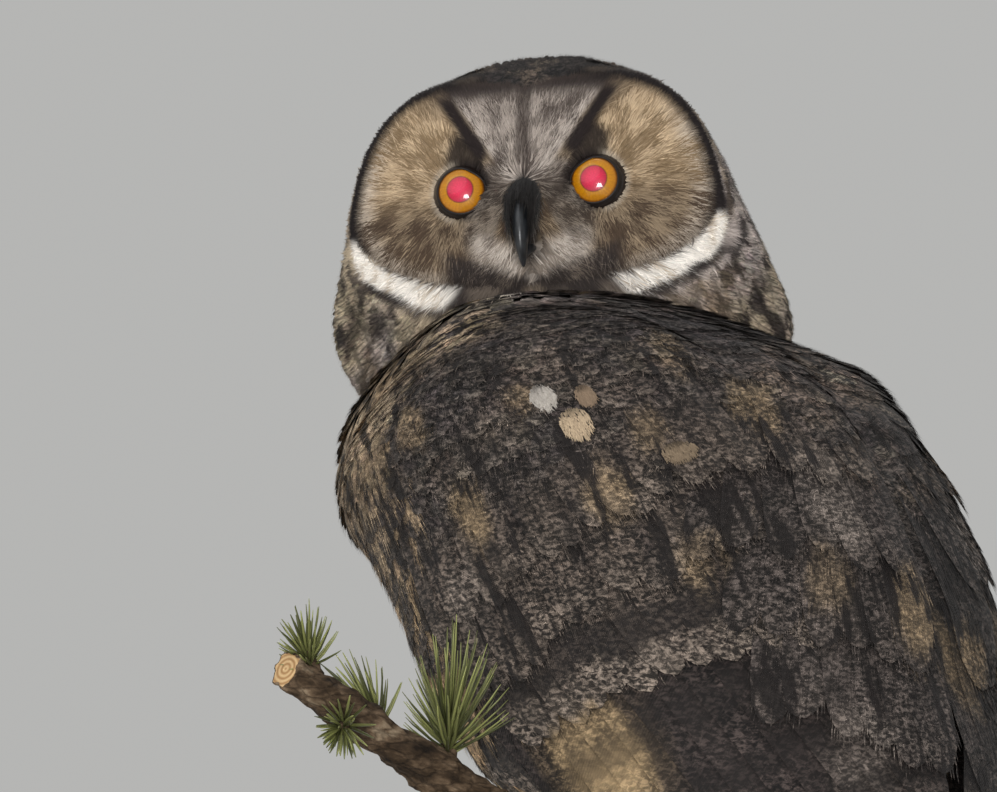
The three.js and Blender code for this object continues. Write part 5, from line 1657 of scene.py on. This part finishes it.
def barkMaterial():
    # larch bark: grey-brown scales about 2.4 mm wide and 8 mm long, with darker cracks between them
    material, tree = newMaterial("conifer bark", {"Roughness": 0.9, "IOR": 1.45, "Specular IOR Level": 0.2})
    place = addNode(tree, "TexCoord").outputs["Object"]
    turned = addNode(tree, "Mapping", {"Rotation": (0, perchRise, 0), "Scale": (0.3, 1.0, 1.0)},
                     {"Vector": place})
    scales = addNode(tree, "TexVoronoi", {"Scale": 420.0, "feature": "DISTANCE_TO_EDGE", "Randomness": 1.0},
                     {"Vector": turned})
    cloud = addNode(tree, "TexNoise", {"Scale": 240.0, "Detail": 6.0, "Roughness": 0.65}, {"Vector": turned})
    tone = addNode(tree, "ValToRGB", {"stops": [
        (0.34, "#1f1812"), (0.47, "#3f3225"), (0.58, "#625140"), (0.7, "#8d7d68"),
    ]}, {0: cloud})
    crack = addNode(tree, "MapRange", {1: 0.0, 2: 0.12, 3: 0.6, 4: 1.0}, {0: scales.outputs["Distance"]})
    rough = addNode(tree, "Math", {"operation": "MULTIPLY_ADD", 1: 0.6}, {0: cloud, 2: crack})
    feed(tree, colour=addNode(tree, "VectorMath", {"operation": "SCALE"}, {0: tone, "Scale": crack}),
         bump=addNode(tree, "Bump", {"Strength": 0.7, "Distance": 0.0007}, {"Height": rough}))
    return material


def cutWoodMaterial():
    # sawn softwood, dry: growth rings 1.2 mm apart about the branch's middle line
    material, tree = newMaterial("sawn softwood", {"Roughness": 0.7, "IOR": 1.5, "Specular IOR Level": 0.3})
    place = addNode(tree, "TexCoord").outputs["Object"]
    middle = (0, -perchOrigin[1] * mm, -perchOrigin[2] * math.cos(perchRise) * mm)
    turned = addNode(tree, "Mapping", {"Location": middle, "Rotation": (0, perchRise, 0)}, {"Vector": place})
    rings = addNode(tree, "TexWave", {"wave_type": "RINGS", "rings_direction": "X", "Scale": 260.0,
                                      "Distortion": 1.2}, {"Vector": turned})
    feed(tree, colour=addNode(tree, "ValToRGB", {"stops": [(0.0, "#94714a"), (1.0, "#bfa177")]}, {0: rings}))
    return material


bark, cutWood = barkMaterial(), cutWoodMaterial()
barkSet = {"rings": 150, "sides": 56, "relief": 0.9}


def makePerch():
    bm = bmesh.new()
    alongs = np.linspace(*perchEnds, barkSet["rings"])
    degrees = np.linspace(0, 360, barkSet["sides"], endpoint=False)
    rings = []
    for along in alongs:
        at = np.full(len(degrees), along)
        swelling = 0.0 if abs(along) < 34 else 1.0
        out = tableValue(perchRadii, at) + swelling * 0.5 * np.sin(along * 0.21 + 2 * np.radians(degrees))
        # knots and flaking scales, kept low where the feet grip
        ways = [Vector((along * 0.11, 0.9 * math.cos(turn), 0.9 * math.sin(turn)))
                for turn in np.radians(degrees)]
        rough = np.array([noise.fractal(way * 2.2, 0.9, 2.1, 4) for way in ways])
        out = out - 0.2 + barkSet["relief"] * rough * (0.35 + 0.65 * ramp(abs(along), 30, 40))
        rings.append(onPerch(at, degrees, out))
    loftRings(bm, rings)
    ends = [edge for face in bm.faces if len(face.verts) > 4 for edge in face.edges]
    bmesh.ops.bevel(bm, geom=ends, offset=0.5 * mm, segments=2, profile=0.5, affect="EDGES", material=-1)
    for face in bm.faces:
        face.material_index = 1 if len(face.verts) > 8 else 0
    perch = makeMeshObject("perch_bark", bm)
    perch.data.materials.append(bark)
    perch.data.materials.append(cutWood)
    finishPiece(perch, "bark", None, "perch_branch")


makePerch()


# Needle shoots
def needleMaterial():
    # larch needles: waxy, yellow-green, paler towards the tip
    material, tree = newMaterial("waxy needle", {
        "Roughness": 0.42, "IOR": 1.45, "Specular IOR Level": 0.45, "Subsurface Weight": 0.06,
        "Subsurface Radius": (0.0006, 0.001, 0.0004),
    })
    feed(tree, colour=addNode(tree, "Attribute", {"attribute_name": "ground"}))
    return material


shootSet = {
    # place on the branch, degrees round it, lean of the shoot, its length, needles, needle length
    "tuft": (98, 0, (0.10, 0.05, 1.0), 9, 110, 24),
    "side": (118, 24, (0.42, -0.5, 0.75), 7, 60, 15),
    "low": (134, 200, (0.75, 0.35, -0.3), 6, 50, 14),
    "end": (147, 350, (0.6, 0.1, 0.8), 6, 60, 14),
}


def makeNeedles():
    goldenAngle = 2.39996
    points, faces, tones = [], [], []
    bm = bmesh.new()
    for place, turn, lean, shoot, count, length in shootSet.values():
        radius = float(tableValue(perchRadii, np.array(float(place))))
        rise = unit(np.array(lean))
        foot = onPerch(np.array(float(place)), turn, radius - 2.0)
        across = unit(np.cross([0.3, 1, 0.1], rise))
        over = np.cross(rise, across)
        twig = []
        for share in np.linspace(0, 1, 6):
            ringRadius = 2.2 - 0.9 * share + 0.25 * math.sin(share * 20)
            turns = np.linspace(0, 2 * math.pi, 10, endpoint=False)
            twig.append(foot + rise * (shoot + 1) * share + np.outer(np.cos(turns), across) * ringRadius
                        + np.outer(np.sin(turns), over) * ringRadius)
        loftRings(bm, twig)
        for i in range(count):
            share = (i + 0.5) / count
            opened = 1.25 - 1.0 * share + rng.normal(0, 0.12)
            angle = i * goldenAngle
            aside = across * math.cos(angle) + over * math.sin(angle)
            root = foot + rise * (2.4 + (shoot - 2.6) * share)
            reach = length * (0.78 + 0.22 * math.sin(2.4 * i)) * (1 - 0.18 * (1 - share))
            bend = rng.normal(0, 0.06)
            side = np.cross(rise, aside)
            start = len(points)
            for at in (0, 0.4, 0.8, 1.0):
                middle = root + aside * reach * at * math.sin(opened) * (1 - 0.12 * at) \
                    + rise * reach * at * math.cos(opened) * (1 + 0.12 * at) + side * bend * reach * at * at
                half = 0.42 * (1 - 0.75 * max(at - 0.6, 0) / 0.4)
                normal = unit(rise * math.sin(opened) - aside * math.cos(opened))
                points += [middle + side * half, middle + normal * half * 0.7, middle - side * half,
                           middle - normal * half * 0.7]
                shade = rng.normal(1, 0.05) * (0.8 + 0.5 * at)
                green = mixed("#3c3f22", "#7a7d4a", np.array(0.5 + 0.5 * math.sin(i * 1.7)))
                tones += [green * shade] * 4
            for r in range(3):
                for k in range(4):
                    a, b = start + r * 4 + k, start + r * 4 + (k + 1) % 4
                    faces += [(a, b, b + 4), (a, b + 4, a + 4)]
            faces += [(start + 12, start + 13, start + 14), (start + 12, start + 14, start + 15)]
    tones = np.clip(np.array(tones), 0, 1)
    needles = meshPiece("needles", np.array(points), np.array(faces), colours={"ground": tones})
    finishPiece(needles, "needles", needleMaterial(), "needle_tuft")
    finishPiece(makeMeshObject("needle_twigs", bm), "bark", bark)
    print("needles", len(needles.data.polygons), "triangles")


makeNeedles()

# Feet: toes round the branch, feathered to the claws
footSide, toeRadius, toePress = 20, 3.8, 0.8
toes = (("inner", 1, -9, 92), ("middle", 1, 5, 104), ("outer", -1, 8, 84), ("hind", -1, -7, 72))
toeShort, clawSpan = 18, (-22, 24)
footSet = {"voxelMm": 0.8, "places": 9, "sides": 14, "strands": 2600, "half": 0.42}


def toePoint(side, way, splay, degrees, lift):
    out = perchRadius + toeRadius - toePress + lift
    return onPerch(side * (footSide + splay * degrees / 100), way * degrees, out)


def tubeRings(points, radii, sides):
    rings = []
    turns = np.linspace(0, 2 * math.pi, sides, endpoint=False)
    for i, point in enumerate(points):
        along = unit(points[min(i + 1, len(points) - 1)] - points[max(i - 1, 0)])
        across = unit(np.cross([1, 0.02, 0.3], along))
        over = np.cross(along, across)
        rings.append(point + radii[i] * (np.outer(np.cos(turns), across) + np.outer(np.sin(turns), over)))
    return rings


footSkin = skinMaterial()
footSkin.name = "feathered toe skin"


def makeFoot(word, side):
    bm = bmesh.new()
    places = footSet["places"]
    for _, way, splay, reach in toes:
        turns = np.linspace(0, reach - toeShort + 2, places)
        points = toePoint(side, way, splay, turns, 0.0)
        # slimmer towards the claw, with a swelling at each pad
        radii = toeRadius - 0.9 * np.linspace(0, 1, places) - 0.5 + 0.18 * np.sin(np.linspace(0, 9, places))
        loftRings(bm, tubeRings(points, radii, footSet["sides"]))
    ankle = onPerch(np.array(float(side * footSide)), 0, perchRadius + 8)
    hip = bodyPoint(np.array(-34.0), side * 155.0, -22.0)
    sole = onPerch(np.array(float(side * footSide)), 0, perchRadius + 0.6)
    leg = np.array([hip, (hip + ankle) / 2, ankle, sole])
    loftRings(bm, tubeRings(leg, [10.5, 7.6, 5.6, 5.0], 20))
    foot = remeshed(f"foot_{word}_skin", bm, footSet["voxelMm"])
    # a quarter darker than the leg feathers: painted shade of the down lying over it
    writeColour(foot.data, "ground", np.tile(plumage["leg"] * 0.75, (len(foot.data.vertices), 1)))
    finishPiece(foot, "leg_feathers", footSkin, f"foot_{word}")
    # short down over the skin, pointing to the claws
    points, normals = readPoints(foot.data)
    offset = points - perchOrigin
    round_ = np.arctan2(-offset[:, 1], offset @ perchUp)
    outAt = np.hypot(offset[:, 1], offset @ perchUp)
    aroundToe = np.stack([0 * round_, -np.cos(round_) * np.sign(round_), -np.abs(np.sin(round_))], axis=-1)
    flow = np.where((outAt > perchRadius + 7.5)[:, None], np.array([[0, 0, -1.0]]), aroundToe)
    chosen = np.flatnonzero((normals @ np.array([0, 0, 1.0]) > -0.95) & (outAt > perchRadius + 1.2))
    chosen = rng.choice(chosen, min(len(chosen), footSet["strands"]), replace=False)
    root, normal = points[chosen], normals[chosen]
    way = flow[chosen] - normal * np.sum(flow[chosen] * normal, axis=1, keepdims=True)
    way = unit(way + rng.normal(0, 0.12, way.shape))
    across = np.cross(normal, way)
    number = len(chosen)
    length = rng.uniform(3.0, 5.0, number)
    half = np.full(number, footSet["half"])

    def pointAt(t, s, lift=0.0):
        rise = -0.3 + 1.2 * np.sqrt(np.maximum(t, 0)) + lift
        return (root[:, None, :] + way[:, None, :] * (length[:, None] * t)[..., None]
                + across[:, None, :] * (half[:, None] * s)[..., None] + normal[:, None, :] * rise[..., None])

    tone = plumage["leg"] * rng.normal(1, 0.1, (number, 1))
    look = {"length": length, "width": half, "ground": np.clip(tone, 0, 1)}
    bake = (np.clip(0.5 + offset[chosen][:, 0] / 90, 0, 1), np.clip(0.5 + round_[chosen] / 7, 0, 1))
    down, _ = vaneMesh(f"foot_{word}_down", pointAt, look, strand, bake)
    finishPiece(down, "leg_feathers", faceStrand)
    known, along = [0, 0.33, 0.66, 1], np.linspace(0, 1, 10)
    for name, way, splay, reach in toes:
        turns = np.linspace(reach + clawSpan[0], reach + clawSpan[1], 10)
        lift = np.interp(along, known, [0, 1.3, 1.5, 0.2])
        spine = np.array([toePoint(side, way, splay, turn, rise) for turn, rise in zip(turns, lift)])
        bm = bmesh.new()
        loftRings(bm, tubeRings(spine, np.interp(along, known, [1.9, 1.65, 1.1, 0.2]), footSet["sides"]))
        finishPiece(makeMeshObject(f"claw_{word}_{name}_horn", bm, 1), "horn", horn, f"claw_{word}_{name}")


for word, side in bothSides:
    makeFoot(word, side)
print("feet ready")

# Display stand
standSet = {"radius": 92, "thickness": 14, "bevel": 2.5, "rodRadius": 4, "rodPlaces": (-60, 58)}


def woodMaterial():
    # turned walnut, oiled: growth rings about 10 mm apart, pores drawn out along the grain
    material, tree = newMaterial("oiled walnut", {"Roughness": 0.42, "IOR": 1.5, "Specular IOR Level": 0.45})
    place = addNode(tree, "TexCoord").outputs["Object"]
    drawn = addNode(tree, "Mapping", {"Scale": (0.12, 1.0, 1.0), "Rotation": (0, 0, 0.3)}, {"Vector": place})
    rings = addNode(tree, "TexWave", {"Scale": 30.0, "Distortion": 5.0, "Detail": 3.0, "Detail Scale": 1.5,
                                      "bands_direction": "Y"}, {"Vector": drawn})
    pores = addNode(tree, "TexNoise", {"Scale": 700.0, "Detail": 3.0}, {"Vector": drawn})
    blend = addNode(tree, "Math", {"operation": "MULTIPLY_ADD", 1: 0.5}, {0: pores, 2: rings})
    stops = [(0.2, "#35251a"), (0.7, "#483222"), (1.0, "#523a29")]
    feed(tree, colour=addNode(tree, "ValToRGB", {"stops": stops}, {0: blend}),
         bump=addNode(tree, "Bump", {"Strength": 0.15, "Distance": 0.0002}, {"Height": pores}))
    return material


def steelMaterial():
    # drawn steel rod, brushed along its length: fine lines 0.3 mm apart
    material, tree = newMaterial("brushed steel", {
        "Base Color": rgba("#9a9da0"), "Metallic": 1.0, "Roughness": 0.34,
    })
    place = addNode(tree, "TexCoord").outputs["Object"]
    drawn = addNode(tree, "Mapping", {"Scale": (1.0, 1.0, 0.03)}, {"Vector": place})
    lines = addNode(tree, "TexNoise", {"Scale": 3300.0, "Detail": 2.0}, {"Vector": drawn})
    feed(tree, bump=addNode(tree, "Bump", {"Strength": 0.2, "Distance": 0.00005}, {"Height": lines}))
    return material


def standingCylinder(place, radius, bottom, top, segments):
    bm = bmesh.new()
    bmesh.ops.create_cone(bm, cap_ends=True, segments=segments, radius1=radius * mm, radius2=radius * mm,
                          depth=(top - bottom) * mm)
    bmesh.ops.translate(bm, verts=bm.verts, vec=Vector((*place, (bottom + top) / 2)) * mm)
    return bm


def makeStand():
    thickness, flatSides = standSet["thickness"], 8
    bm = standingCylinder((0, 0), standSet["radius"], 0, thickness, 160)
    rim = [edge for edge in bm.edges if all(v.co.z > thickness * mm * 0.9 for v in edge.verts)]
    bmesh.ops.bevel(bm, geom=rim, offset=standSet["bevel"] * mm, segments=5, profile=0.5, affect="EDGES",
                    material=-1)
    base = makeMeshObject("stand_base_wood", bm, mostSides=flatSides - 1)
    finishPiece(base, "base_wood", woodMaterial(), "stand_base")
    steel = steelMaterial()
    for i, along in enumerate(standSet["rodPlaces"], 1):
        # a rod stands 1 mm into the base and reaches the branch's middle line
        top = onPerch(np.array(float(along)), 0, 0)
        bm = standingCylinder(top[:2], standSet["rodRadius"], thickness - 1, top[2], 40)
        rod = makeMeshObject(f"stand_rod_{i}_steel", bm, mostSides=flatSides - 1)
        finishPiece(rod, "rod_steel", steel, f"stand_rod_{i}")


makeStand()
print("stand ready")


# Floor and light
def makeFloor():
    bm = bmesh.new()
    bmesh.ops.create_grid(bm, x_segments=2, y_segments=2, size=6.0)
    floor = makeMeshObject("floor", bm)
    floor.data.materials.append(newMaterial("pale paper floor", {
        "Base Color": rgba("#dcdbd8"), "Roughness": 0.85,
    })[0])


def areaLight(name, place, size, power):
    # a round soft light that looks at the bird's breast
    data = bpy.data.lights.new(name, "AREA")
    data.shape = "DISK"
    data.size = size
    data.energy = power
    light = linked(name, data)
    light.location = place
    light.rotation_euler = (Vector((0.0, -0.03, 0.27)) - place).to_track_quat("-Z", "Y").to_euler()


makeFloor()
world = bpy.data.worlds.new("studio")
bpy.context.scene.world = world
world.use_nodes = True
air = world.node_tree.nodes["Background"].inputs
air["Color"].default_value = rgba("#e4e4e2")
air["Strength"].default_value = 0.6
middle = Vector(cameraSet["aim"]) * mm
areaLight("flash", cameraPlace + cameraBack * 0.05 + Vector((0, 0, 0.04)), 0.5, 20)
areaLight("soft key", middle + cameraBack * 0.9 - cameraRight * 0.8 + Vector((0, 0, 1.1)), 2.0, 9)
areaLight("top", middle - cameraBack * 0.5 + Vector((0, 0, 1.2)), 0.9, 7)
bpy.context.scene.view_settings.view_transform = "Standard"
